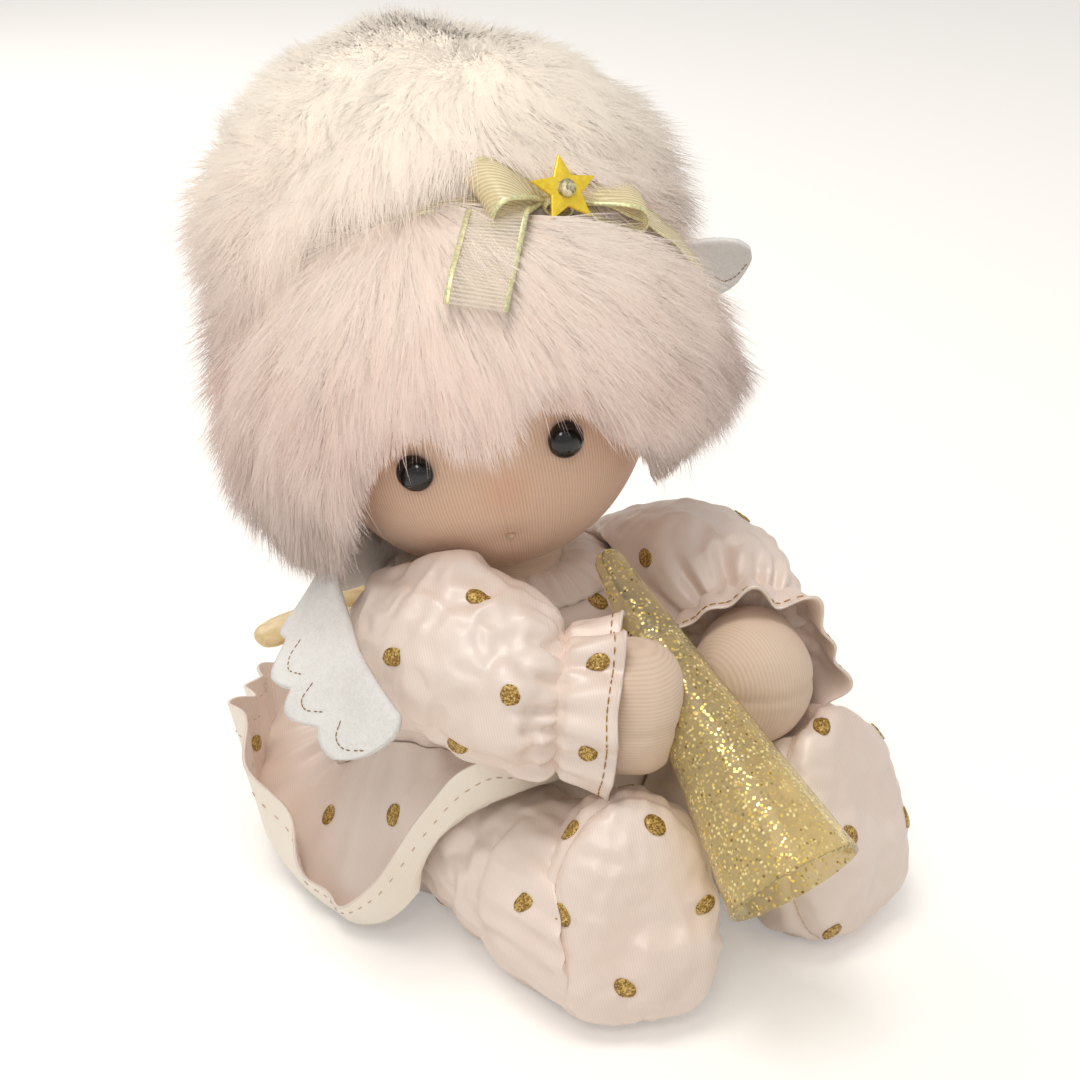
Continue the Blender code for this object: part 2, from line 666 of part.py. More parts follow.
# Degrees from the front: height of the fold, height of the rim, share of the hem radius
HEM_FORM = ((0.0, 39.0, 0.0, 0.78), (45.0, 39.0, 0.0, 0.84), (60.0, 36.0, 0.0, 0.9),
            (70.0, 22.0, 0.3, 0.94), (82.0, 8.0, 0.7, 1.0), (100.0, 6.5, 1.0, 1.0),
            (130.0, 11.0, 1.6, 1.02), (155.0, 17.0, 1.7, 1.04), (180.0, 18.0, 1.7, 0.93))


def peplum_point(angle, share, out):
    """Point on the flared peplum between the waist (0) and the flipped hem (1)."""
    turn = abs(math.degrees(angle))
    fold = mix([(row[0], row[1]) for row in HEM_FORM], turn) * MM
    flip = HEM_FLIP * mix([(row[0], row[2]) for row in HEM_FORM], turn)
    reach = HEM_RADIUS * mix([(row[0], row[3]) for row in HEM_FORM], turn)
    start = torso_point(angle, waist_height(angle), 2 * SEAT_GAP)
    flat = Vector((math.sin(angle), -math.cos(angle), 0.0))
    start_reach = math.hypot(start.x, start.y)
    wave = 1.6 * MM * share * math.sin(9 * angle + 0.6)
    spot = flat * (start_reach + (reach + wave - start_reach) * share)
    z = mix([(0.0, waist_height(angle) - 2 * SEAT_GAP - CLOTH), (0.7, fold), (1.0, fold + flip)], share)
    if spot.y < 0.0:
        z = max(z, leg_top(spot.x, spot.y))
    return Vector((spot.x, spot.y, z + out))


def peplum():
    """Flared skirt of the tunic as one sheet with its folds."""
    rings = []
    shares = (0.0, 0.25, 0.5, 0.72, 1.0)
    for out, order in ((0.0, shares), (CLOTH, shares[::-1])):
        for share in order:
            rings.append([peplum_point(math.pi * (2 * i / PEPLUM_SIDES - 1), share, out)
                          for i in range(PEPLUM_SIDES)])
    return loft(rings, closed=True)


def bodice_rings(out):
    """Rings of the bodice from the waist seam to the neck, moved out from the body."""
    rings = []
    for step in range(7):
        ring = []
        for i in range(TORSO_SIDES):
            angle = 2 * math.pi * i / TORSO_SIDES
            low = waist_height(angle)
            ring.append(torso_point(angle, low + (BODICE_TOP - low) * step / 6, out))
        rings.append(ring)
    return rings


def bodice():
    """Tunic bodice fitted over the body."""
    return loft(bodice_rings(-2 * CLOTH) + bodice_rings(2 * SEAT_GAP + CLOTH)[::-1], closed=True)


def torso(grow=0.0, start=0.0):
    """Stuffed seat and trunk with a flat base."""
    heights = [row[0] * TORSO_HEIGHT for row in TORSO_FORM]
    rings = []
    for z in [max(start, heights[0] - grow)] + [h for h in heights[1:] if h > start]:
        level = z + (grow if z == heights[-1] else 0.0)
        ring = []
        for i in range(TORSO_SIDES):
            point = torso_point(2 * math.pi * i / TORSO_SIDES, z, grow)
            point.z = level
            ring.append(point)
        rings.append(ring)
    return loft(rings)


def horn_shape(grow=0.0, hollow=True):
    """Turned horn; the solid, grown form serves as a cutter."""
    frame = place(HORN_BELL, HORN_AXIS)
    length = HORN_LENGTH

    def radius(share):
        """Outer radius at a share of the length from the bell."""
        spread = (HORN_BELL_RADIUS - HORN_TIP_RADIUS)
        return HORN_TIP_RADIUS + spread * (1 - share) ** 1.08

    shares = (0.0, 0.1, 0.25, 0.4, 0.55, 0.7, 0.84, 0.95)
    outer = [(length * s, radius(s) + grow) for s in shares]
    outer += [(length * 0.985, (radius(0.985) + grow) * 0.8), (length + grow, 0.0)]
    if not hollow:
        return turned([(-grow, 0.0), (-grow, radius(0.0) + grow)] + outer, frame, HORN_SIDES)
    bore = [(length * s, radius(s) - HORN_WALL) for s in shares[:6]]
    end = length * shares[5] + HORN_WALL
    return turned([(end, 0.0)] + bore[::-1] + outer, frame, HORN_SIDES)


def wing(side, leading, trailing):
    """Felt wing sheet with a scalloped trailing edge between two edge curves from its root."""
    root = wing_root(side)
    half = Z_AXIS * (WING_ROOT_CHORD / 2)
    tops = along([(root + half, 0, 0)] + [(root + Vector(p) * MM, 0, 0) for p in leading], 6)
    ends = along([(root - half, 0, 0)] + [(root + Vector(p) * MM, 0, 0) for p in trailing], 6)
    count = len(tops) - 1
    grid = []
    for k, (top, end) in enumerate(zip(tops, ends)):
        lobe = abs(math.sin(math.pi * WING_SCALLOPS * k / count))
        chord = (end[0] - top[0]) * (1 - WING_SCALLOP_DEPTH * (1 - lobe) * min(1.0, 4 * k / count))
        grid.append([top[0] + chord * (j / 4) for j in range(5)])
    skins = ([], [])
    for k, row in enumerate(grid):
        for j, point in enumerate(row):
            span = grid[min(count, k + 1)][j] - grid[max(0, k - 1)][j]
            chord = row[min(4, j + 1)] - row[max(0, j - 1)]
            normal = span.cross(chord).normalized() * (WING_FELT / 2)
            skins[0].append(point + normal)
            skins[1].append(point - normal)
    rings = []
    for k in range(count + 1):
        row = slice(5 * k, 5 * k + 5)
        rings.append(skins[0][row] + skins[1][row][::-1])
    return loft(rings)


def wing_root(side):
    """Middle of the sewn edge of a wing, on the back of the bodice."""
    back = torso_half(WING_ROOT_HEIGHT - WING_ROOT_CHORD / 2)[1] + 2 * SEAT_GAP + CLOTH + WING_FELT / 2
    return Vector((side * WING_ROOT_GAP, back, WING_ROOT_HEIGHT - 4.0 * MM))


def clear_scene():
    """Remove whatever the scene holds."""
    for piece in list(bpy.data.objects):
        bpy.data.objects.remove(piece, do_unlink=True)


def build_body():
    """Stuffed trunk, clothes, limbs, horn and wings."""
    trunk = publish(torso(), "torso", "satin")
    pocket = plug("pocket_case", CASE_CENTRE, CASE_FRONT - SEAT_GAP, CASE_BACK + SEAT_GAP,
                  CASE_RADIUS + SEAT_GAP)
    room = LEVER_WIDTH / 2 + (PIVOT_HEIGHT - LEVER_END) * math.sin(-SWAY_REST) + 2 * RUN_GAP
    front = publish(box(Vector((-room, LEVER_FRONT - 5 * RUN_GAP, LEVER_END - 2.0 * MM)),
                        Vector((room, CASE_FRONT, TORSO_HEIGHT - 4.0 * MM))), "pocket_lever")
    neck_z = TORSO_HEIGHT - 8.0 * MM
    neck = publish(turned([(0.0, 1.0), (12.0 * MM, 1.0)],
                          Matrix.Translation((0.0, 0.0, neck_z))
                          @ Matrix.Diagonal((NECK_OPENING_WIDTH / 2, NECK_OPENING_DEPTH / 2, 1.0, 1.0))),
                   "pocket_neck")
    shaft = plug("pocket_shaft", BARREL_AXIS, CASE_BACK - MM, TORSO_HALF_DEPTH + 8.0 * MM,
                 ARBOR_RADIUS + 2 * RUN_GAP)
    cut(trunk, pocket, front, neck, shaft)

    top = publish(bodice(), "bodice", "satin")
    trunk_room = publish(torso(SEAT_GAP, -SEAT_GAP), "torso_room")
    cut(top, trunk_room, shaft)
    cut(publish(peplum(), "peplum", "satin"), trunk_room)
    start = TORSO_HEIGHT + SEAT_GAP
    collar_height = PIVOT_HEIGHT + NECK_LENGTH - COLLAR_GAP - start
    collar_rings = []
    for height, out in ((0.0, 0.0), (collar_height, 0.35), (collar_height, 1.0), (0.0, 0.9)):
        collar_rings.append([
            Vector(((NECK_OPENING_WIDTH / 2 + COLLAR_WIDTH * out) * math.cos(2 * math.pi * i / LIMB_SIDES),
                    (NECK_OPENING_DEPTH / 2 + COLLAR_WIDTH * out) * math.sin(2 * math.pi * i / LIMB_SIDES),
                    start + height)) for i in range(LIMB_SIDES)])
    publish(loft(collar_rings, closed=True), "collar", "satin")

    rings = bodice_rings(4 * SEAT_GAP + CLOTH)
    spare = Z_AXIS * (2 * CLOTH)
    rings = [[point - spare for point in rings[0]], *rings, [point + spare for point in rings[-1]]]
    bodice_room = publish(loft(rings), "bodice_room")
    horn_room = publish(horn_shape(SEAT_GAP, hollow=False), "horn_room")
    publish(horn_shape(), "horn", "horn_plastic")
    for label, side in (("right", -1), ("left", 1)):
        leg = publish(limb(leg_stations(side), floor=0.0), "leg_" + label, "satin")
        shoe = publish(foot(side), "foot_" + label, "satin")
        foot_room = publish(foot(side, SEAT_GAP), "foot_room_" + label)
        cut(leg, trunk_room, foot_room)
        sleeve = publish(limb(sleeve_stations(side), end_dir=wrist_heading(side)), "sleeve_" + label, "satin")
        cut_soft(sleeve, bodice_room, trunk_room)
        publish(ruffle(side), "cuff_ruffle_" + label, "satin")
        hand = publish(limb(hand_stations(side)), "hand_" + label, "knit")
        cut(hand, horn_room)
        hand_room = publish(limb(hand_stations(side), SEAT_GAP), "hand_room_" + label)
        frill_room = publish(ruffle(side, SEAT_GAP), "frill_room_" + label)
        cut_soft(shoe, horn_room, hand_room, frill_room)

    right = publish(wing(-1, WING_LEADING[-1], WING_TRAILING[-1]), "wing_right", "felt", wing_root(-1))
    left = publish(wing(1, WING_LEADING[1], WING_TRAILING[1]), "wing_left", "felt", wing_root(1))
    cut(right, bodice_room)
    cut(left, bodice_room)


def head_point(x, y, z):
    """World place of a point in the head's own frame."""
    return HEAD_FRAME @ Vector((x, y, z))


def band_frame():
    """Frame of the ribbon's plane round the hair: Z is the plane's normal, Y runs up it."""
    tilt = Matrix.Rotation(BAND_TIP, 4, "X")
    return HEAD_FRAME @ Matrix.Translation((0.0, 4.0 * MM, 3.0 * MM)) @ tilt @ Matrix.Rotation(
        90.0 * DEG, 4, "X")


def band_radius():
    """Half width and half height of the ribbon's run round the hair."""
    reach = HEAD_RADIUS + FRINGE_DEPTH - 4.0 * MM
    return reach, reach - 1.0 * MM


def strip(path, across, width, thickness, closed=False):
    """Flat ribbon along a path of (point, outward) pairs, as one thin body."""
    rings = []
    for point, outward in path:
        half = across * (width / 2)
        face = outward.normalized() * thickness
        rings.append([point - half, point + half, point + half + face, point - half + face])
    return loft(rings, closed)


def build_head():
    """Head, eyes, hair, ribbon, bow and star, all turning together on the rod."""
    head = publish(ellipsoid(HEAD_FRAME, [HEAD_RADIUS] * 3, 22, 14), "head", "knit", HEAD_CENTRE)
    bore_end = HEAD_CENTRE + ROD_AXIS * (ROD_DEPTH_IN_HEAD + RUN_GAP - HEAD_RADIUS)
    cut(head, publish(rod(HEAD_CENTRE - ROD_AXIS * (HEAD_RADIUS * 1.2), bore_end,
                          ROD_RADIUS + RUN_GAP), "head_bore"))

    reach = HEAD_RADIUS * math.sqrt(1 - (EYE_SPACING / 2 / HEAD_RADIUS) ** 2)
    for label, side in (("right", -1), ("left", 1)):
        spot = Vector((side * EYE_SPACING / 2, -reach * math.cos(EYE_LATITUDE), reach * math.sin(EYE_LATITUDE)))
        frame = place(HEAD_FRAME @ spot, HEAD_FRAME.to_3x3() @ spot)
        seat = SEAT_GAP + EYE_RADIUS ** 2 / (4 * HEAD_RADIUS)
        dome = [(EYE_DOME * math.sin(a * DEG) + seat, EYE_RADIUS * math.cos(a * DEG)) for a in (0, 25, 50, 72)]
        eye = [(-EYE_SHANK_LENGTH, 0.0), (-EYE_SHANK_LENGTH, EYE_SHANK_RADIUS), (seat, EYE_SHANK_RADIUS)]
        eye += dome + [(EYE_DOME + seat, 0.0)]
        publish(turned(eye, frame, 20), "eye_" + label, "eye_plastic", HEAD_CENTRE)
        high = 1.5 * MM - EYE_SHANK_LENGTH + EYE_WASHER_THICKNESS
        low = high - EYE_WASHER_THICKNESS
        bore = EYE_SHANK_RADIUS + SEAT_GAP
        publish(turned([(low, bore), (low, EYE_WASHER_RADIUS), (high, EYE_WASHER_RADIUS), (high, bore)],
                       frame, 20, closed=True), "eye_washer_" + label, "case_plastic", HEAD_CENTRE)
        wide = EYE_WASHER_RADIUS + SEAT_GAP
        cutter = [(-EYE_SHANK_LENGTH - SEAT_GAP, 0.0), (-EYE_SHANK_LENGTH - SEAT_GAP, bore),
                  (low - SEAT_GAP, bore), (low - SEAT_GAP, wide), (high + SEAT_GAP, wide),
                  (high + SEAT_GAP, bore), (2 * SEAT_GAP + seat, bore), (2 * SEAT_GAP + seat, 0.0)]
        cut(head, publish(turned(cutter, frame, 20), "eye_room_" + label))

    head_room = publish(ellipsoid(HEAD_FRAME, [HEAD_RADIUS + SEAT_GAP] * 3, 22, 14), "head_room")
    half_x, half_z = band_radius()
    plane = band_frame()
    groove = plane @ Matrix.Diagonal((half_x, half_z, 1.0, 1.0))
    inner, outer = 1.0 - SEAT_GAP / half_z, 1.6
    groove_half = BAND_WIDTH / 2 + SEAT_GAP
    band_room = publish(turned([(-groove_half, inner), (-groove_half, outer), (groove_half, outer),
                                (groove_half, inner)], groove, 40, closed=True), "band_room")
    far = 3.0 * HEAD_RADIUS
    behind = publish(loft([[plane @ Vector((x, y, z)) for x, y in ((-far, -far), (far, -far), (far, far), (-far, far))]
                           for z in (-far, SEAT_GAP / 2)]), "hair_behind")
    ahead = publish(loft([[plane @ Vector((x, y, z)) for x, y in ((-far, -far), (far, -far), (far, far), (-far, far))]
                          for z in (-SEAT_GAP / 2, far)]), "hair_ahead")
    below = publish(loft([[head_point(x, y, z) for x, y in ((-far, -far), (far, -far), (far, far), (-far, far))]
                          for z in (-far, -CURTAIN_DROP)]), "hair_below")
    face_low = -1.2 * HEAD_RADIUS
    face_half = (FRINGE_EDGE - face_low) / 2
    face = publish(turned([(-far, 1.0), (0.0, 1.0)],
                          HEAD_FRAME @ Matrix.Translation((0.0, 0.0, face_low + face_half))
                          @ Matrix.Rotation(-90.0 * DEG, 4, "X")
                          @ Matrix.Diagonal((FACE_HALF_WIDTH, face_half, 1.0, 1.0)), 32), "face_opening")
    fringe_half = [HEAD_RADIUS + FRINGE_DEPTH + 1.5 * MM, HEAD_RADIUS + FRINGE_DEPTH - 2.5 * MM,
                   HEAD_RADIUS + FRINGE_DEPTH - 4.5 * MM]
    fringe = publish(ellipsoid(HEAD_FRAME @ Matrix.Translation((0.0, 2.0 * MM, 4.0 * MM)), fringe_half, 22, 12),
                     "hair_front", "fur", HEAD_CENTRE)
    cut(fringe, behind, head_room, face, below, band_room)
    puff_low = -0.8 * HEAD_RADIUS
    puff_half = [HEAD_RADIUS + PUFF_DEPTH - 2.0 * MM, HEAD_RADIUS - 2.0 * MM, (PUFF_RISE - puff_low) / 2]
    puff = publish(ellipsoid(HEAD_FRAME @ Matrix.Translation((0.0, 12.0 * MM, (PUFF_RISE + puff_low) / 2)),
                             puff_half, 22, 12), "hair_back", "fur", HEAD_CENTRE)
    cut(puff, ahead, head_room, band_room)

    path = []
    low = -BAND_END
    for i in range(29):
        a = low + (math.pi - 2 * low) * i / 28
        outward = plane.to_3x3() @ Vector((math.cos(a) / half_x, math.sin(a) / half_z, 0.0))
        path.append((plane @ Vector((half_x * math.cos(a), half_z * math.sin(a), 0.0)), outward))
    publish(strip(path, plane.to_3x3() @ Z_AXIS, BAND_WIDTH, BAND_THICKNESS), "ribbon_band", "organza", HEAD_CENTRE)
    build_bow(plane, half_x, half_z, (fringe, puff))


def build_bow(plane, half_x, half_z, hair):
    """Ribbon bow with its star, tied on the band in a hollow of the hair."""
    turn = plane.to_3x3()
    spot = Vector((half_x * math.cos(BOW_ANGLE), half_z * math.sin(BOW_ANGLE), 0.0))
    outward = Vector((spot.x / half_x ** 2, spot.y / half_z ** 2, 0.0)).normalized()
    run = Vector((-spot.y / half_z ** 2, spot.x / half_x ** 2, 0.0)).normalized() * -1.0
    normal = (turn @ outward).normalized()
    along_band = (turn @ run).normalized()
    across = normal.cross(along_band)
    base = plane @ spot + normal * (BAND_THICKNESS + 2 * SEAT_GAP)
    frame = Matrix.Translation(base) @ Matrix((along_band, across, normal)).transposed().to_4x4()

    build_tail(frame)
    half_knot = KNOT_LENGTH / 2
    half_width = RIBBON_WIDTH / 2
    room_x = half_knot + LOOP_LENGTH + 4 * SEAT_GAP
    room_y = max(half_width, STAR_RADIUS) + 2 * SEAT_GAP
    room = publish(loft([[frame @ Vector((x, y, z)) for x, y in ((-room_x, -room_y), (room_x, -room_y),
                                                                 (room_x, room_y), (-room_x, room_y))]
                         for z in (-0.37 * LOOP_HEIGHT, 4 * LOOP_HEIGHT)]), "bow_room")
    for tuft in hair:
        cut(tuft, room)
    knot_rings = []
    for share, swell in ((-1.0, 0.7), (-0.6, 0.95), (0.0, 1.0), (0.6, 0.95), (1.0, 0.7)):
        ring = []
        for i in range(12):
            a = 2 * math.pi * i / 12
            lift = KNOT_HEIGHT / 2 * (1 + swell * math.sin(a))
            ring.append(frame @ Vector((half_knot * swell * math.cos(a), half_width * share, lift)))
        knot_rings.append(ring)
    publish(loft(knot_rings), "bow_knot", "organza", HEAD_CENTRE)

    for label, side in (("right", -1), ("left", 1)):
        outline = []
        count = 16
        for i in range(count + 1):
            a = 2 * math.pi * i / count
            reach = half_knot + SEAT_GAP * 2 + LOOP_LENGTH * (1 - math.cos(a)) / 2
            lift = KNOT_HEIGHT * 0.55 + LOOP_HEIGHT / 2 * math.sin(a) * (1 - math.cos(a)) / 2 * 1.4
            outline.append(Vector((reach, 0.0, lift)))
        outline_out = outline[1:-1]
        centre = Vector((half_knot + SEAT_GAP * 2 + LOOP_LENGTH * 0.55, 0.0, KNOT_HEIGHT * 0.55))
        outline_in = []
        for p in outline_out:
            pull = centre - p
            outline_in.append(p + pull.normalized() * min(RIBBON_THICKNESS, pull.length * 0.45))
        loops = []
        for depth, edge in ((-1, outline_out), (1, outline_out), (1, outline_in), (-1, outline_in)):
            loops.append([frame @ Vector((side * p.x, depth * half_width * (0.55 + 0.45 * min(1.0, p.x / LOOP_LENGTH)),
                                          p.z)) for p in edge])
        publish(loft(loops, closed=True), "bow_loop_" + label, "organza", HEAD_CENTRE)

    face = HEAD_FRAME.to_3x3() @ Vector((0.0, -1.0, 0.0))
    lean = math.copysign(STAR_LEAN, face.dot(across))
    frame = frame @ Matrix.Rotation(-lean, 4, "X")
    star_base = half_width * math.sin(STAR_LEAN) + 0.9 * KNOT_HEIGHT * math.cos(STAR_LEAN) + SEAT_GAP
    star = []
    for i in range(10):
        a = 2 * math.pi * i / 10 + 90.0 * DEG
        radius = STAR_RADIUS * (1.0 if i % 2 == 0 else 0.47)
        star.append((radius * math.cos(a), radius * math.sin(a)))
    publish(loft([[frame @ Vector((x, y, star_base + h)) for x, y in star] for h in (0.0, STAR_THICKNESS)]),
            "star_charm", "gilt", HEAD_CENTRE)
    stud_base = star_base + STAR_THICKNESS + SEAT_GAP
    dome = [(stud_base, 0.0), (stud_base, STUD_RADIUS), (stud_base + 0.6 * STUD_RADIUS, 0.8 * STUD_RADIUS),
            (stud_base + STUD_RADIUS, 0.4 * STUD_RADIUS), (stud_base + 1.1 * STUD_RADIUS, 0.0)]
    publish(turned(dome, frame, 12), "star_stud", "gilt", HEAD_CENTRE)


def build_tail(frame):
    """Ribbon end that hangs from the bow over the fringe."""
    head = HEAD_FRAME.inverted()
    start = head @ (frame @ Vector((-KNOT_LENGTH * 1.75, -STAR_RADIUS * 1.1, 0.0)))
    reach = HEAD_RADIUS + FRINGE_DEPTH + 1.6 * MM
    across = Vector((0.97, 0.1, -0.2)).normalized()
    end_dir = Vector((0.1, -0.72, 0.68)).normalized()
    start_dir = start.normalized()
    path = []
    count = 8
    sweep = TAIL_LENGTH / reach
    full = start_dir.angle(end_dir)
    for i in range(count + 1):
        share = i / count
        t = share * sweep / full
        spot = start_dir.slerp(end_dir, t)
        ripple = 0.8 * MM * math.sin(3 * math.pi * share)
        distance = start.length + (reach - start.length) * min(1.0, 1.6 * share) + ripple
        path.append((HEAD_FRAME @ (spot * distance), HEAD_FRAME.to_3x3() @ spot))
    wide = HEAD_FRAME.to_3x3() @ across
    publish(strip(path, wide, RIBBON_WIDTH, RIBBON_THICKNESS), "bow_tail", "organza", HEAD_CENTRE)


def build_case():
    """Drum case, lid, bedplate and the pieces fixed to them."""
    tub_end = CASE_BACK - CASE_WALL - SEAT_GAP
    tub = [(CASE_FRONT, CASE_RADIUS), (tub_end, CASE_RADIUS), (tub_end, CASE_INNER_RADIUS),
           (CASE_FLOOR, CASE_INNER_RADIUS)]
    shell = publish(turned(tub, place(Vector((0.0, 0.0, CASE_HEIGHT)), Y_AXIS), 36), "case_tub", "case_plastic")
    lid = publish(spindle(CASE_CENTRE, [(CASE_BACK - CASE_WALL, CASE_RADIUS), (CASE_BACK, CASE_RADIUS)]),
                  "case_lid", "case_plastic")
    plate_end = BEDPLATE_START + BEDPLATE_THICKNESS
    plate = publish(turned([(BEDPLATE_START, CASE_INNER_RADIUS - SEAT_GAP), (plate_end, CASE_INNER_RADIUS - SEAT_GAP)],
                           place(Vector((0.0, 0.0, CASE_HEIGHT)), Y_AXIS), 28), "bedplate", "steel")
    for name, axis, radius in (("barrel", BARREL_AXIS, ARBOR_RADIUS), ("cylinder", CYLINDER_AXIS, SHAFT_RADIUS),
                               ("governor", GOVERNOR_AXIS, SHAFT_RADIUS), ("fly", FLY_AXIS, SHAFT_RADIUS)):
        hole = plug("bearing_" + name, axis, CASE_FRONT - MM, CASE_BACK - CASE_WALL - MM, radius + RUN_GAP)
        cut(shell, hole)
        cut(plate, hole)
    cut(lid, plug("lid_hole", BARREL_AXIS, CASE_BACK - 4 * CASE_WALL, CASE_BACK + MM, ARBOR_RADIUS + RUN_GAP))

    # The comb stands on a block that is cast with the bedplate
    tip = CYLINDER_RADIUS + CYLINDER_PIN + RUN_GAP
    block_x = CYLINDER_AXIS.x + tip + COMB_LENGTH * 0.45
    block_end = CYLINDER_AXIS.x + tip + COMB_LENGTH
    low = CYLINDER_AXIS.z - COMB_THICKNESS / 2 - SEAT_GAP
    block = publish(box(Vector((block_x, CYLINDER_START, low - 3.0 * MM)),
                        Vector((block_end, BEDPLATE_START + MM, low))), "comb_block")
    join(plate, block)
    outline = []
    pitch = CYLINDER_LENGTH / COMB_TEETH
    for i in range(COMB_TEETH):
        y = CYLINDER_START + pitch * (i + 0.5)
        root = block_x - 0.6 * MM
        outline += [(root, y - 0.5 * pitch + 0.12 * MM), (CYLINDER_AXIS.x + tip, y - 0.25 * pitch),
                    (CYLINDER_AXIS.x + tip, y + 0.25 * pitch), (root, y + 0.5 * pitch - 0.12 * MM)]
    outline += [(block_end, CYLINDER_START + CYLINDER_LENGTH), (block_end, CYLINDER_START)]
    comb = publish(loft([[Vector((x, y, CYLINDER_AXIS.z + h)) for x, y in outline]
                         for h in (-COMB_THICKNESS / 2, COMB_THICKNESS / 2)]), "tone_comb", "steel")
    screw_x = (block_x + block_end) / 2
    for index, share in ((1, 0.22), (2, 0.78)):
        y = CYLINDER_START + CYLINDER_LENGTH * share
        top = CYLINDER_AXIS.z + COMB_THICKNESS / 2 + SEAT_GAP
        frame = Matrix.Translation((screw_x, y, 0.0))
        end = low - 2.4 * MM
        publish(turned([(end, SCREW_RADIUS * 0.7), (top, SCREW_RADIUS * 0.7), (top, SCREW_RADIUS * 1.5),
                        (top + 0.9 * MM, SCREW_RADIUS * 1.5)], frame, 12), f"comb_screw_{index}", "steel")
        hole = publish(turned([(end - SEAT_GAP, SCREW_RADIUS * 0.7 + SEAT_GAP), (top + MM, SCREW_RADIUS * 0.7 + SEAT_GAP)],
                              frame, 12), f"comb_screw_hole_{index}")
        cut(comb, hole)
        cut(plate, hole)


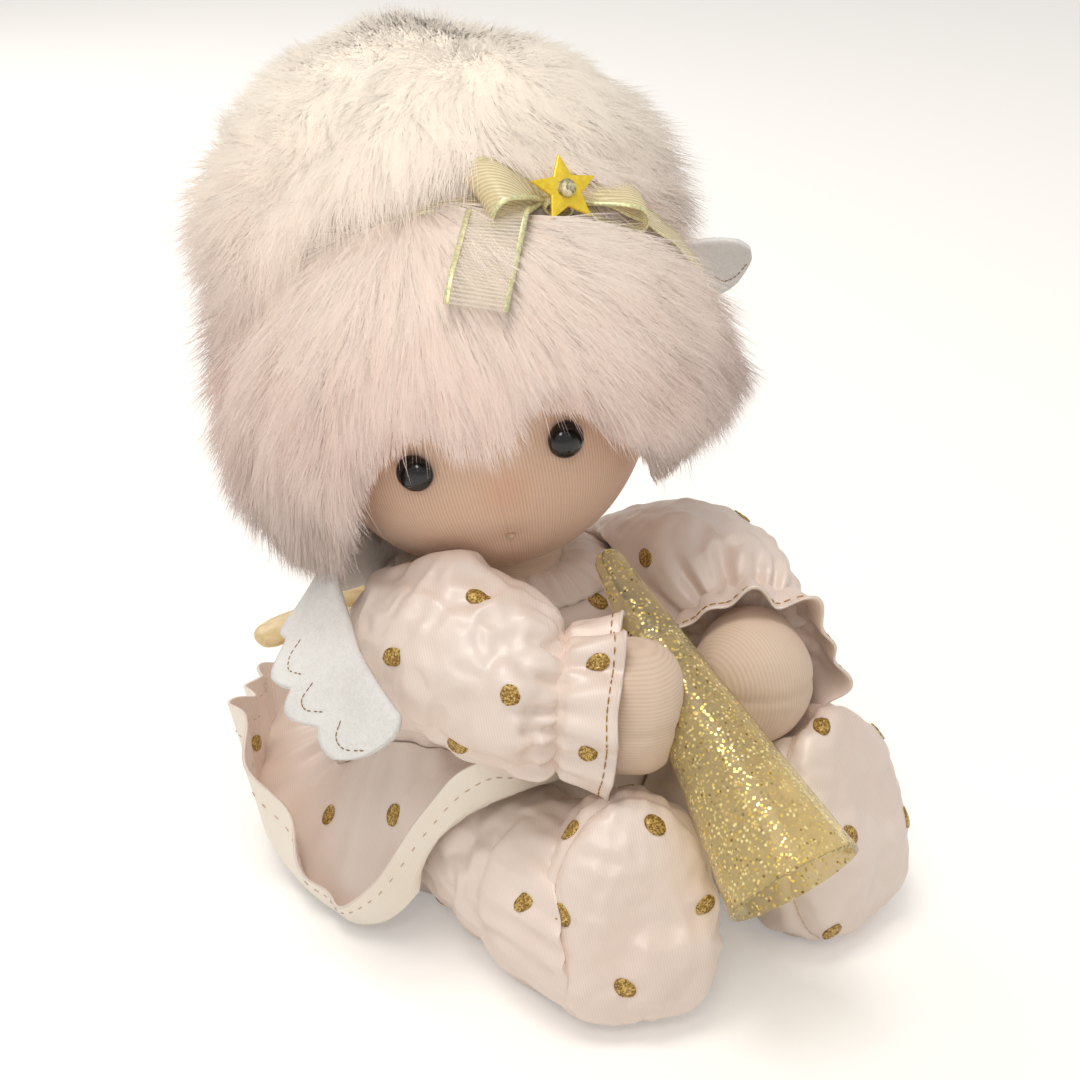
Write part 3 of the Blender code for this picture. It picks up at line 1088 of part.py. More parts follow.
def build_train():
    """Spring barrel, pinned cylinder, governor wheel, fly and key on their own axes."""
    gear_end = PINION_START + GEAR_FACE
    barrel_front = CYLINDER_START
    floor = PINION_START - RUN_GAP
    bore = ARBOR_RADIUS + RUN_GAP
    cup = [(barrel_front, BARREL_RADIUS), (barrel_front, BARREL_RADIUS - BARREL_WALL),
           (floor - BARREL_WALL, BARREL_RADIUS - BARREL_WALL), (floor - BARREL_WALL, bore),
           (gear_end - 0.2 * MM, bore), (gear_end - 0.2 * MM, BARREL_RADIUS)]
    frame = place(Vector((BARREL_AXIS.x, 0.0, BARREL_AXIS.z)), Y_AXIS)
    barrel = publish(turned(cup, frame, 24, closed=True), "spring_barrel", "brass", BARREL_AXIS)
    teeth = publish(prism(gear_outline(BARREL_AXIS, BARREL_TEETH, TRAIN_MODULE, toward(BARREL_AXIS, CYLINDER_AXIS)),
                          PINION_START, gear_end), "barrel_teeth")
    cut(teeth, plug("barrel_bore", BARREL_AXIS, PINION_START - MM, gear_end + MM, bore + 1.0 * MM))
    join(barrel, teeth)
    cover_end = barrel_front + 1.2 * MM
    edge = BARREL_RADIUS - BARREL_WALL - SEAT_GAP
    publish(turned([(barrel_front, bore), (barrel_front, edge), (cover_end, edge), (cover_end, bore)], frame, 24,
                   closed=True), "barrel_cover", "brass", BARREL_AXIS)
    path = []
    first = bore + 0.6 * MM
    last = BARREL_RADIUS - BARREL_WALL - SEAT_GAP - SPRING_STRIP
    steps = SPRING_TURNS * 12
    middle = (cover_end + floor - BARREL_WALL) / 2
    for i in range(steps + 1):
        a = 2 * math.pi * SPRING_TURNS * i / steps
        outward = Vector((math.cos(a), 0.0, math.sin(a)))
        path.append((BARREL_AXIS + Y_AXIS * middle + outward * (first + (last - first) * i / steps), outward))
    publish(strip(path, Y_AXIS, floor - BARREL_WALL - cover_end - 2 * SEAT_GAP, SPRING_STRIP), "mainspring", "steel",
            BARREL_AXIS)

    cylinder = publish(pinned_drum(), "music_cylinder", "brass", CYLINDER_AXIS)
    overlap = 0.2 * MM
    wheel_end = WHEEL_START + GEAR_FACE
    pinion = publish(prism(gear_outline(CYLINDER_AXIS, CYLINDER_PINION_TEETH, TRAIN_MODULE,
                                        toward(CYLINDER_AXIS, BARREL_AXIS) + math.pi / CYLINDER_PINION_TEETH),
                           PINION_START - overlap, gear_end), "cylinder_pinion")
    wheel = publish(prism(gear_outline(CYLINDER_AXIS, CYLINDER_WHEEL_TEETH, TRAIN_MODULE,
                                       toward(CYLINDER_AXIS, GOVERNOR_AXIS)), WHEEL_START, wheel_end), "cylinder_wheel")
    disc_start = CASE_FRONT - RUN_GAP
    disc_end = disc_start - CRANK_DISC_THICKNESS
    spine = publish(spindle(CYLINDER_AXIS, [
        (disc_end, CRANK_DISC_RADIUS), (disc_start, CRANK_DISC_RADIUS), (disc_start, SHAFT_RADIUS),
        (BEDPLATE_START + BEDPLATE_THICKNESS, SHAFT_RADIUS)]), "cylinder_shaft")
    crank = CYLINDER_AXIS + X_AXIS * CRANK_THROW
    pin = publish(rod(Vector((crank.x, disc_end + overlap, crank.z)),
                      Vector((crank.x, disc_end - CRANK_PIN_LENGTH, crank.z)), CRANK_PIN_RADIUS), "crank_pin")
    join(cylinder, spine, pinion, wheel, pin)

    governor = publish(spindle(GOVERNOR_AXIS, [(CASE_FRONT + 0.2 * MM, SHAFT_RADIUS),
                                               (BEDPLATE_START + BEDPLATE_THICKNESS, SHAFT_RADIUS)]),
                       "governor_wheel", "brass", GOVERNOR_AXIS)
    small = publish(prism(gear_outline(GOVERNOR_AXIS, GOVERNOR_PINION_TEETH, TRAIN_MODULE,
                                       toward(GOVERNOR_AXIS, CYLINDER_AXIS) + math.pi / GOVERNOR_PINION_TEETH),
                          WHEEL_START, wheel_end), "governor_pinion")
    large = publish(prism(gear_outline(GOVERNOR_AXIS, GOVERNOR_WHEEL_TEETH, FLY_MODULE,
                                       toward(GOVERNOR_AXIS, FLY_AXIS)), GOVERNOR_PLANE, GOVERNOR_PLANE + GEAR_FACE),
                    "governor_gear")
    join(governor, small, large)

    fly = publish(spindle(FLY_AXIS, [(CASE_FRONT + 0.2 * MM, SHAFT_RADIUS),
                                     (BEDPLATE_START + BEDPLATE_THICKNESS, SHAFT_RADIUS)]),
                  "governor_fly", "steel", FLY_AXIS)
    leaf = publish(prism(gear_outline(FLY_AXIS, FLY_PINION_TEETH, FLY_MODULE,
                                      toward(FLY_AXIS, GOVERNOR_AXIS) + math.pi / FLY_PINION_TEETH),
                         GOVERNOR_PLANE, GOVERNOR_PLANE + GEAR_FACE), "fly_pinion")
    half = 0.5 * MM
    vane = publish(box(Vector((FLY_AXIS.x - FLY_RADIUS, CYLINDER_START + MM, FLY_AXIS.z - half)),
                       Vector((FLY_AXIS.x + FLY_RADIUS, CYLINDER_START + CYLINDER_LENGTH - MM, FLY_AXIS.z + half))),
                   "fly_vane")
    join(fly, leaf, vane)

    hub_start = KEY_REACH - KEY_BOW_DEPTH - KEY_HUB_LENGTH
    arbor_end = hub_start + KEY_HUB_LENGTH
    publish(spindle(BARREL_AXIS, [(CASE_FRONT + 0.2 * MM, ARBOR_RADIUS), (arbor_end, ARBOR_RADIUS)]),
            "winding_arbor", "steel", BARREL_AXIS)
    key = publish(spindle(BARREL_AXIS, [(hub_start, KEY_HUB_RADIUS * 0.9), (hub_start + MM, KEY_HUB_RADIUS),
                                        (arbor_end + 3.0 * MM, KEY_HUB_RADIUS)]), "winding_key", "key_plastic",
                  BARREL_AXIS)
    join(key, publish(key_bow(arbor_end), "key_bow"))
    cut(key, plug("key_socket", BARREL_AXIS, hub_start - MM, arbor_end + SEAT_GAP, ARBOR_RADIUS + SEAT_GAP))


def key_bow(start):
    """Two rounded paddles of the key as one flat body across the arbor."""
    frame = place(BARREL_AXIS + Y_AXIS * (start + MM), Vector((math.cos(KEY_REST), 0.0, -math.sin(KEY_REST))), Z_AXIS)
    form = ((-1.0, 0.34), (-0.97, 0.62), (-0.85, 0.9), (-0.62, 1.0), (-0.36, 0.86), (-0.15, 0.62), (0.15, 0.62),
            (0.36, 0.86), (0.62, 1.0), (0.85, 0.9), (0.97, 0.62), (1.0, 0.34))
    rings = []
    half = (KEY_BOW_DEPTH - 2.0 * MM) / 2
    for share, size in form:
        ring = []
        for i in range(12):
            a = 2 * math.pi * i / 12
            ring.append(frame @ Vector((KEY_BOW_THICKNESS / 2 * (0.6 + 0.4 * size) * math.cos(a),
                                        half * size * math.sin(a) - half, KEY_HALF_SPAN * share)))
        rings.append(ring)
    return loft(rings)


def pinned_drum():
    """Cylinder whose surface carries raised pins in rows under the comb's teeth."""
    sides = 20
    rows = COMB_TEETH
    frame = place(Vector((CYLINDER_AXIS.x, 0.0, CYLINDER_AXIS.z)), Y_AXIS)
    profile = [(CYLINDER_START + CYLINDER_LENGTH * k / rows, CYLINDER_RADIUS) for k in range(rows + 1)]
    bm = turned(profile, frame, sides)
    bm.faces.ensure_lookup_table()
    bmesh.ops.recalc_face_normals(bm, faces=bm.faces)
    walls = [face for face in bm.faces if len(face.verts) == 4]
    walls.sort(key=lambda face: (round(face.calc_center_median().y, 6),
                                 math.atan2(face.calc_center_median().z - CYLINDER_AXIS.z,
                                            face.calc_center_median().x - CYLINDER_AXIS.x)))
    chosen = [face for index, face in enumerate(walls) if (index * 7 + (index // sides) * 5) % 23 == 0]
    bmesh.ops.inset_individual(bm, faces=chosen, thickness=0.2 * MM, depth=0.0)
    raised = bmesh.ops.extrude_discrete_faces(bm, faces=chosen)["faces"]
    for face in raised:
        bmesh.ops.translate(bm, vec=face.normal * CYLINDER_PIN, verts=face.verts)
    return bm


def build_drive():
    """Pivot bracket on the case and the lever that carries the head."""
    back = CASE_FRONT - SEAT_GAP
    front = back - BRACKET_THICKNESS
    foot_z = CYLINDER_AXIS.z + CRANK_DISC_RADIUS + 4.0 * MM
    bracket = publish(box(Vector((-BRACKET_WIDTH / 2, front, foot_z)),
                          Vector((BRACKET_WIDTH / 2, back, PIVOT_HEIGHT + PIVOT_EDGE))), "pivot_bracket", "steel")
    pivot_hole = plug("pivot_hole", PIVOT, LEVER_FRONT - 3.0 * MM, CASE_FRONT, PIVOT_PIN_RADIUS + RUN_GAP)
    cut(bracket, pivot_hole)
    for index, side in ((1, -1), (2, 1)):
        spot = Vector((side * (BRACKET_WIDTH / 2 - 2.6 * MM), 0.0, foot_z + 2.6 * MM))
        end = CASE_FLOOR - 0.2 * MM
        head_y = front - SEAT_GAP
        publish(spindle(spot, [(head_y - 0.9 * MM, SCREW_RADIUS * 1.5), (head_y, SCREW_RADIUS * 1.5),
                               (head_y, SCREW_RADIUS * 0.7), (end, SCREW_RADIUS * 0.7)]),
                f"bracket_screw_{index}", "steel")
        hole = plug(f"bracket_screw_hole_{index}", spot, head_y - SEAT_GAP / 2, CASE_FLOOR + MM,
                    SCREW_RADIUS * 0.7 + SEAT_GAP)
        cut(bracket, hole)
        cut(bpy.data.objects["case_tub"], hole)
    publish(spindle(PIVOT, [(LEVER_FRONT - RUN_GAP - 1.0 * MM, PIVOT_PIN_RADIUS * 1.8),
                            (LEVER_FRONT - RUN_GAP, PIVOT_PIN_RADIUS * 1.8),
                            (LEVER_FRONT - RUN_GAP, PIVOT_PIN_RADIUS), (back - 0.2 * MM, PIVOT_PIN_RADIUS)]),
            "pivot_pin", "steel")

    half = LEVER_WIDTH / 2
    low = LEVER_END
    elbow_z = PIVOT_HEIGHT + PIVOT_EDGE + ROD_RADIUS + 2 * RUN_GAP
    top = elbow_z + 1.5 * ROD_RADIUS
    outline = [(-half, low), (half, low), (half, top), (-half, top)]
    lever = publish(swayed(prism(outline, LEVER_FRONT, LEVER_BACK)), "head_rod", "steel", PIVOT)
    middle_y = (LEVER_FRONT + LEVER_BACK) / 2
    end_z = PIVOT_HEIGHT + NECK_LENGTH + ROD_DEPTH_IN_HEAD
    level = publish(swayed(rod(Vector((0.0, middle_y, elbow_z)), Vector((0.0, 0.5 * ROD_RADIUS, elbow_z)),
                               0.93 * ROD_RADIUS, 10)), "rod_level")
    upright = publish(swayed(rod(Vector((0.0, 0.0, elbow_z - 0.5 * ROD_RADIUS)), Vector((0.0, 0.0, end_z)), ROD_RADIUS)),
                      "rod_upright")
    join(lever, level, upright)
    slot_half = CRANK_PIN_RADIUS + RUN_GAP
    slot = publish(swayed(box(Vector((-slot_half, LEVER_FRONT - MM, CYLINDER_AXIS.z - CRANK_THROW - 1.6 * MM)),
                              Vector((slot_half, LEVER_BACK + MM, CYLINDER_AXIS.z + CRANK_THROW + 1.6 * MM)))),
                   "lever_slot")
    cut(lever, slot, pivot_hole)


def swayed(bm):
    """Lean an upright body to the rest side of the sway."""
    bmesh.ops.transform(bm, matrix=SWAY, verts=bm.verts)
    return bm


def main():
    """Build every piece of the doll."""
    clear_scene()
    build_body()
    build_head()
    build_case()
    build_train()
    build_drive()


main()
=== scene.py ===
"""Looks of a seated musical angel doll: satin clothes, knit skin, plush hair, felt wings, glitter horn."""

import logging
from dataclasses import dataclass, field, replace
from enum import Enum
from functools import partial
from math import atan, atan2, copysign, cos, degrees, exp, hypot, pi, sin, sqrt, tau
from typing import Callable, Sequence

import bmesh
import bpy
import numpy as np
from bmesh.types import BMesh, BMFace, BMVert
from bpy.types import ID, Material, Mesh, Node, NodeSocket, NodeTree, Object
from mathutils import Matrix, Vector, noise
from mathutils.bvhtree import BVHTree


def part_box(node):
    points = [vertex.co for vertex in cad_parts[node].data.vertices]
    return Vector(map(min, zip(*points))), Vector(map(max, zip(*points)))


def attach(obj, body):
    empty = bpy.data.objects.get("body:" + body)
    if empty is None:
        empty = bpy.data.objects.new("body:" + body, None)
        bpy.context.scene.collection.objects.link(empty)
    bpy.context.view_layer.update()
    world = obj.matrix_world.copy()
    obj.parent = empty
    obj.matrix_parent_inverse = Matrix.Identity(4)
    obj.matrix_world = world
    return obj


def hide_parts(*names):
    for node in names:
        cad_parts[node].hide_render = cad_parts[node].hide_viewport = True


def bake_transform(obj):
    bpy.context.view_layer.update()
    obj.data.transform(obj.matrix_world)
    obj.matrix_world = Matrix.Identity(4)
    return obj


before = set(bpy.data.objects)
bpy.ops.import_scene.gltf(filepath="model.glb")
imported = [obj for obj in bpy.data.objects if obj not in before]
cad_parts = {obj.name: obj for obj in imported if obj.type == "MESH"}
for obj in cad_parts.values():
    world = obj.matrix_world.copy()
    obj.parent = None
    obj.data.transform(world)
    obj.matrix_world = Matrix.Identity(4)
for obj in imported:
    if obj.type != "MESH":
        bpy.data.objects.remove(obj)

LOG = logging.getLogger("angel_doll")
MM = 0.001
DEG = pi / 180
X_AXIS = Vector((1, 0, 0))
Y_AXIS = Vector((0, 1, 0))
Z_AXIS = Vector((0, 0, 1))
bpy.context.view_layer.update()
# Cloth that lies on the floor stays this far above it
GROUND = 0.15 * MM
Place = Callable[[float, float], Vector]
Adder = Callable[..., Node]
Array = np.ndarray


class Body(str, Enum):
    """CAD bodies that pieces ride on."""

    DOLL = "doll_body"
    HEAD = "head"
    KEY = "key"
    WING_RIGHT = "wing_right"
    WING_LEFT = "wing_left"


class Side(int, Enum):
    """The doll's own right and left, with the sign of X on that side."""

    RIGHT = -1
    LEFT = 1

    @property
    def word(self) -> str:
        """Name of the side as it ends a node's name."""
        return "right" if self is Side.RIGHT else "left"


class KnitRun(Enum):
    """Way in which the ribs of a knit piece run."""

    WALES = "along the UV map's second axis"
    LEVEL = "level round the piece"
    UPRIGHT = "upright, side by side across the piece"


def linear(code: str) -> tuple[float, float, float, float]:
    """Turn an sRGB hex colour into linear values.

    Args:
        code: colour as "#RRGGBB".

    Returns:
        Linear red, green, blue and alpha.
    """
    parts = [int(code[i:i + 2], 16) / 255 for i in (1, 3, 5)]
    red, green, blue = (p / 12.92 if p <= 0.04045 else ((p + 0.055) / 1.055) ** 2.4 for p in parts)
    return red, green, blue, 1


def add_node(tree: NodeTree, kind: str, settings: dict | None = None, links: dict | None = None) -> Node:
    """Add a shader node with its settings and links.

    Args:
        tree: node tree to add to.
        kind: node type, without the ShaderNode that it starts with.
        settings: values by attribute name, or by input name or index, and a colour ramp's "stops", which are
            positions with sRGB hex colours.
        links: sockets, or nodes for their first output, by the name or index of the input they feed.

    Returns:
        The new node.
    """
    node = tree.nodes.new("ShaderNode" + kind)
    for key, value in (settings or {}).items():
        if key == "stops":
            points = node.color_ramp.elements
            while len(points) < len(value):
                points.new(0.5)
            for point, (place, code) in zip(points, value):
                point.position = place
                point.color = linear(code)
        elif isinstance(key, str) and hasattr(node, key):
            setattr(node, key, value)
        else:
            node.inputs[key].default_value = value
    for key, source in (links or {}).items():
        tree.links.new(source.outputs[0] if isinstance(source, Node) else source, node.inputs[key])
    return node


def wave_scale(period_mm: float) -> float:
    """Scale of a wave texture whose bands repeat at a real distance."""
    return 0.31416 / (period_mm * MM)


@dataclass(frozen=True)
class Finish:
    """Base of every finish: one Principled material made on first use."""

    name: str = "plain"

    def material(self) -> Material:
        """The finish's material, made once."""
        made = bpy.data.materials.get(self.name)
        if made is None:
            made = bpy.data.materials.new(self.name)
            made.use_nodes = True
            tree = made.node_tree
            shader = tree.nodes["Principled BSDF"]
            add = partial(add_node, tree)
            for key, value in self.paint(add, add("TexCoord")).items():
                if isinstance(value, Node):
                    value = value.outputs[0]
                if isinstance(value, NodeSocket):
                    tree.links.new(value, shader.inputs[key])
                else:
                    shader.inputs[key].default_value = value
        return made

    def paint(self, add: Adder, coords: Node) -> dict:
        """Nodes of the finish; each finish has its own.

        Args:
            add: adds a node to the material's tree.
            coords: its texture coordinates.

        Returns:
            Constants, nodes and sockets by the name of the shader's input that they go to.
        """
        raise NotImplementedError


@dataclass(frozen=True)
class Satin(Finish):
    """Woven polyester satin: floats of thread give a soft broad sheen and faint lines."""

    name: str = "polyester_satin"
    ground: str = "#F0E1D6"
    shade: str = "#E8D2C4"
    # The real threads lie 0.2 mm apart; they are drawn coarser so that the lines show
    thread_mm: float = 0.55
    crease: float = 0.08

    def paint(self, add: Adder, coords: Node) -> dict:
        """Thread lines, soft creases and a slightly uneven dye."""
        spot = coords.outputs["Object"]
        turned = add("Mapping", {"Rotation": (0, 0.25, 0.62)}, {"Vector": spot})
        lines = add("TexWave", {"Scale": wave_scale(self.thread_mm), "Distortion": 1.2, "Detail": 1,
                                "Detail Scale": 0.6}, {"Vector": turned}).outputs["Fac"]
        folds = add("TexNoise", {"Scale": 62, "Detail": 1.5, "Roughness": 0.42, "Distortion": 0.8},
                    {"Vector": spot})
        dye = add("TexNoise", {"Scale": 42, "Detail": 2}, {"Vector": spot})
        thread = add("Mix", {"data_type": "FLOAT", "Factor": 0.2}, {2: dye, 3: lines})
        gloss = add("MapRange", {"To Min": 0.36, "To Max": 0.5}, {"Value": lines})
        soft = add("Bump", {"Strength": self.crease, "Distance": 1.4 * MM}, {"Height": folds})
        weave = add("Bump", {"Strength": 0.07, "Distance": 0.12 * MM}, {"Height": lines, "Normal": soft})
        colour = add("ValToRGB", {"stops": ((0.26, self.shade), (0.6, self.ground))}, {0: thread})
        # Drawn polyester filament bends light more than cotton does
        return {"Base Color": colour, "Roughness": gloss, "Normal": weave, "Sheen Weight": 0.1,
                "Sheen Roughness": 0.35, "Specular IOR Level": 0.85, "IOR": 1.6}


@dataclass(frozen=True)
class Knit(Finish):
    """Ribbed cotton jersey stretched over stuffing: matt, with fine ribs and small loops."""

    name: str = "cotton_jersey"
    ground: str = "#E8C8B0"
    # Painted shade: the darker colour where ribs and loops dip
    groove: str = "#D6AD92"
    blush: str = "#DFA280"
    rib_mm: float = 0.72
    depth: float = 0.2
    run: KnitRun = KnitRun.WALES
    blush_at: tuple[float, float, float] = (0, 0, 0)
    blush_reach: float = 0.0

    def paint(self, add: Adder, coords: Node) -> dict:
        """Ribs, loops along them with painted shade in their grooves, and an optional rubbed-on blush."""
        spot = coords.outputs["Object"]
        along = coords.outputs["UV"] if self.run is KnitRun.WALES else spot
        across = "Z" if self.run is KnitRun.LEVEL else "X"
        ribs = add("TexWave", {"Scale": wave_scale(self.rib_mm), "Distortion": 0.7, "Detail": 1,
                               "Detail Scale": 0.3, "bands_direction": across}, {"Vector": along})
        loops = add("TexNoise", {"Scale": 1500, "Detail": 1}, {"Vector": spot})
        worn = add("TexNoise", {"Scale": 60, "Detail": 2}, {"Vector": spot})
        mixed = add("Mix", {"data_type": "FLOAT", "Factor": 0.32}, {2: ribs.outputs["Fac"], 3: loops})
        uneven = add("Mix", {"data_type": "FLOAT", "Factor": 0.3}, {2: mixed, 3: worn})
        # Painted shade: low parts of the ribs and loops take the groove colour, with the worn noise's random
        # tone mixed in
        colour = add("ValToRGB", {"stops": ((0.16, self.groove), (0.62, self.ground))}, {0: uneven})
        if self.blush_reach > 0:
            away = add("VectorMath", {"operation": "DISTANCE", 1: self.blush_at}, {0: spot})
            fade = add("MapRange", {"interpolation_type": "SMOOTHERSTEP", "From Min": 0,
                                    "From Max": self.blush_reach, "To Min": 0.3, "To Max": 0},
                       {"Value": away.outputs["Value"]})
            colour = add("Mix", {"data_type": "RGBA", 7: linear(self.blush)},
                         {0: fade, 6: colour}).outputs[2]
        bump = add("Bump", {"Strength": self.depth, "Distance": 0.2 * MM}, {"Height": mixed})
        return {"Base Color": colour, "Normal": bump, "Roughness": 0.88, "Sheen Weight": 0.2,
                "Sheen Roughness": 0.5, "Specular IOR Level": 0.25}


@dataclass(frozen=True)
class Plush(Finish):
    """Long acrylic pile: pale fibres, warmer at the root and whiter at the tip, with painted top light that
    turns them paler towards the crown.
    """

    name: str = "acrylic_pile"
    # The fibres' own warmer root colour, which painted shade at the ribbon's seam also pulls fibres towards
    root: str = "#E0B49E"
    middle: str = "#EBD1C5"
    tip: str = "#F6E6DD"
    # Painted top light: the pale colour mixed in high up, where light from above falls
    crown: str = "#FFF8EC"

    def paint(self, add: Adder, coords: Node) -> dict:
        """Tone along each fibre, and painted top light: a paler, warmer colour mixed in with height at the
        crown.
        """
        tone = add("Attribute", {"attribute_name": "tone"}).outputs["Fac"]
        colour = add("ValToRGB", {"stops": ((0, self.root), (0.4, self.middle), (1, self.tip))}, {0: tone})
        # Painted top light: the higher the fibre, the more of the crown colour it takes
        height = add("SeparateXYZ", links={0: coords.outputs["Object"]}).outputs["Z"]
        rise = add("MapRange", {"From Min": 0.118, "From Max": 0.172, "To Max": 0.9}, {"Value": height})
        mixed = add("Mix", {"data_type": "RGBA", 7: linear(self.crown)}, {0: rise, 6: colour})
        return {"Base Color": mixed.outputs[2], "Roughness": 0.75, "Specular IOR Level": 0.12}


@dataclass(frozen=True)
class Felt(Finish):
    """Pressed white wool felt: matt, with short matted fibres and faint soiling."""

    name: str = "wool_felt"
    ground: str = "#EEEDEA"
    shade: str = "#DCD9D4"

    def paint(self, add: Adder, coords: Node) -> dict:
        """Matted fibres and a little dirt."""
        spot = coords.outputs["Object"]
        fibre = add("TexNoise", {"Scale": 900, "Detail": 4, "Roughness": 0.7, "Distortion": 1.5},
                    {"Vector": spot})
        dirt = add("TexNoise", {"Scale": 70, "Detail": 3}, {"Vector": spot})
        mixed = add("Mix", {"data_type": "FLOAT", "Factor": 0.45}, {2: fibre, 3: dirt})
        bump = add("Bump", {"Strength": 0.5, "Distance": 0.35 * MM}, {"Height": fibre})
        colour = add("ValToRGB", {"stops": ((0.32, self.shade), (0.55, self.ground))}, {0: mixed})
        return {"Base Color": colour, "Normal": bump, "Roughness": 0.93, "Sheen Weight": 0.35,
                "Sheen Roughness": 0.5, "Specular IOR Level": 0.2}


@dataclass(frozen=True)
class Glitter(Finish):
    """Gold glitter flakes in a clear binder: each flake has its own tone and tilt."""

    name: str = "gold_glitter_print"
    dark: str = "#7D5C26"
    mid: str = "#A98440"
    bright: str = "#DDBF70"
    flake_mm: float = 0.32

    def paint(self, add: Adder, coords: Node) -> dict:
        """Flakes as cells with random tone and slope."""
        cells = add("TexVoronoi", {"Scale": 1 / (self.flake_mm * MM)},
                    {"Vector": coords.outputs["Object"]})
        pick = add("SeparateColor", links={0: cells.outputs["Color"]})
        bump = add("Bump", {"Strength": 0.35, "Distance": 0.12 * MM}, {"Height": pick})
        stops = ((0.1, self.dark), (0.5, self.mid), (0.92, self.bright))
        colour = add("ValToRGB", {"stops": stops}, {0: pick})
        return {"Base Color": colour, "Normal": bump, "Metallic": 0.35, "Roughness": 0.45}


@dataclass(frozen=True)
class HornResin(Finish):
    """Clear amber vinyl with gold flakes moulded in: see-through, glossy outside, flakes at all tilts."""

    name: str = "glitter_vinyl"
    clear: str = "#F7ECC6"
    flake: str = "#F5D555"
    dark_flake: str = "#8A6B22"
    pale_flake: str = "#FFF3B4"
    # Flakes are about 0.4 mm across and lie about 1 mm apart
    pitch_mm: float = 0.95

    def paint(self, add: Adder, coords: Node) -> dict:
        """Scattered metal flakes in a clear body."""
        cells = add("TexVoronoi", {"Scale": 1 / (self.pitch_mm * MM), "Randomness": 1},
                    {"Vector": coords.outputs["Object"]})
        pick = add("SeparateColor", links={0: cells.outputs["Color"]})
        near = add("Math", {"operation": "LESS_THAN", 1: 0.31}, {0: cells.outputs["Distance"]})
        some = add("Math", {"operation": "GREATER_THAN", 1: 0.3}, {0: pick})
        mask = add("Math", {"operation": "MULTIPLY"}, {0: near, 1: some})
        stops = ((0.07, self.dark_flake), (0.16, self.flake), (0.8, self.pale_flake))
        tone = add("ValToRGB", {"stops": stops}, {0: pick.outputs[1]})
        mixed = add("Mix", {"data_type": "RGBA", 6: linear(self.clear)}, {0: mask, 7: tone})
        metal = add("Math", {"operation": "MULTIPLY", 1: 0.3}, {0: mask})
        clear = add("Math", {"operation": "MULTIPLY_ADD", 1: -0.82, 2: 0.82}, {0: mask})
        return {"Base Color": mixed.outputs[2], "Metallic": metal, "Transmission Weight": clear,
                "Roughness": 0.13, "IOR": 1.16, "Specular IOR Level": 1}


@dataclass(frozen=True)
class Organza(Finish):
    """Sheer nylon ribbon with woven metallic selvedges."""

    name: str = "organza_ribbon"
    ground: str = "#FFF5E0"
    metal: str = "#F5EBB4"
    metal_dark: str = "#D2D6A6"
    sheer: float = 0.17
    selvedge: float = 0.08

    def paint(self, add: Adder, coords: Node) -> dict:
        """Sheer middle with cross threads, and chequered metallic edges."""
        spot = coords.outputs["Object"]
        across = add("SeparateXYZ", links={0: coords.outputs["UV"]}).outputs["Y"]
        middle = add("Math", {"operation": "SUBTRACT", 1: 0.5}, {0: across})
        out = add("Math", {"operation": "ABSOLUTE"}, {0: middle})
        edge = add("Math", {"operation": "GREATER_THAN", 1: 0.5 - self.selvedge}, {0: out})
        check = add("TexChecker", {"Scale": 1250, "Color1": linear(self.metal),
                                   "Color2": linear(self.metal_dark)}, {"Vector": spot})
        threads = add("TexWave", {"Scale": wave_scale(0.7), "Distortion": 0.6,
                                  "bands_direction": "DIAGONAL"}, {"Vector": spot})
        mixed = add("Mix", {"data_type": "RGBA", 6: linear(self.ground)}, {0: edge, 7: check})
        gauze = add("MapRange", {"To Min": self.sheer - 0.16, "To Max": self.sheer + 0.2},
                    {"Value": threads.outputs["Fac"]})
        solid = add("Math", {"operation": "MAXIMUM"}, {0: gauze, 1: edge})
        shine = add("Math", {"operation": "MULTIPLY", 1: 0.3}, {0: edge})
        return {"Base Color": mixed.outputs[2], "Alpha": solid, "Metallic": shine, "Roughness": 0.36,
                "Sheen Weight": 0.2}


@dataclass(frozen=True)
class Moulded(Finish):
    """Injection-moulded or turned solid with a fine uneven surface."""

    name: str = "moulded_plastic"
    ground: str = "#EAD2A0"
    shade: str = "#D9BC84"
    grain_mm: float = 2.0
    roughness: float = 0.35
    metallic: float = 0.0
    gloss: float = 0.5

    def paint(self, add: Adder, coords: Node) -> dict:
        """Slight flow marks in colour and gloss."""
        flow = add("TexNoise", {"Scale": 1 / (self.grain_mm * MM), "Detail": 3},
                   {"Vector": coords.outputs["Object"]})
        gloss = add("MapRange", {"To Min": self.roughness * 0.8, "To Max": self.roughness * 1.25},
                    {"Value": flow})
        colour = add("ValToRGB", {"stops": ((0.3, self.shade), (0.65, self.ground))}, {0: flow})
        return {"Base Color": colour, "Roughness": gloss, "Metallic": self.metallic,
                "Specular IOR Level": self.gloss}


SATIN = Satin()
# Wrong side of the satin: its own paler cream, made paler still as painted light that lifts the shaded hem
# facing
SATIN_WRONG = Satin(name="polyester_satin_wrong_side", ground="#FBF3E6", shade="#F4E6D0")
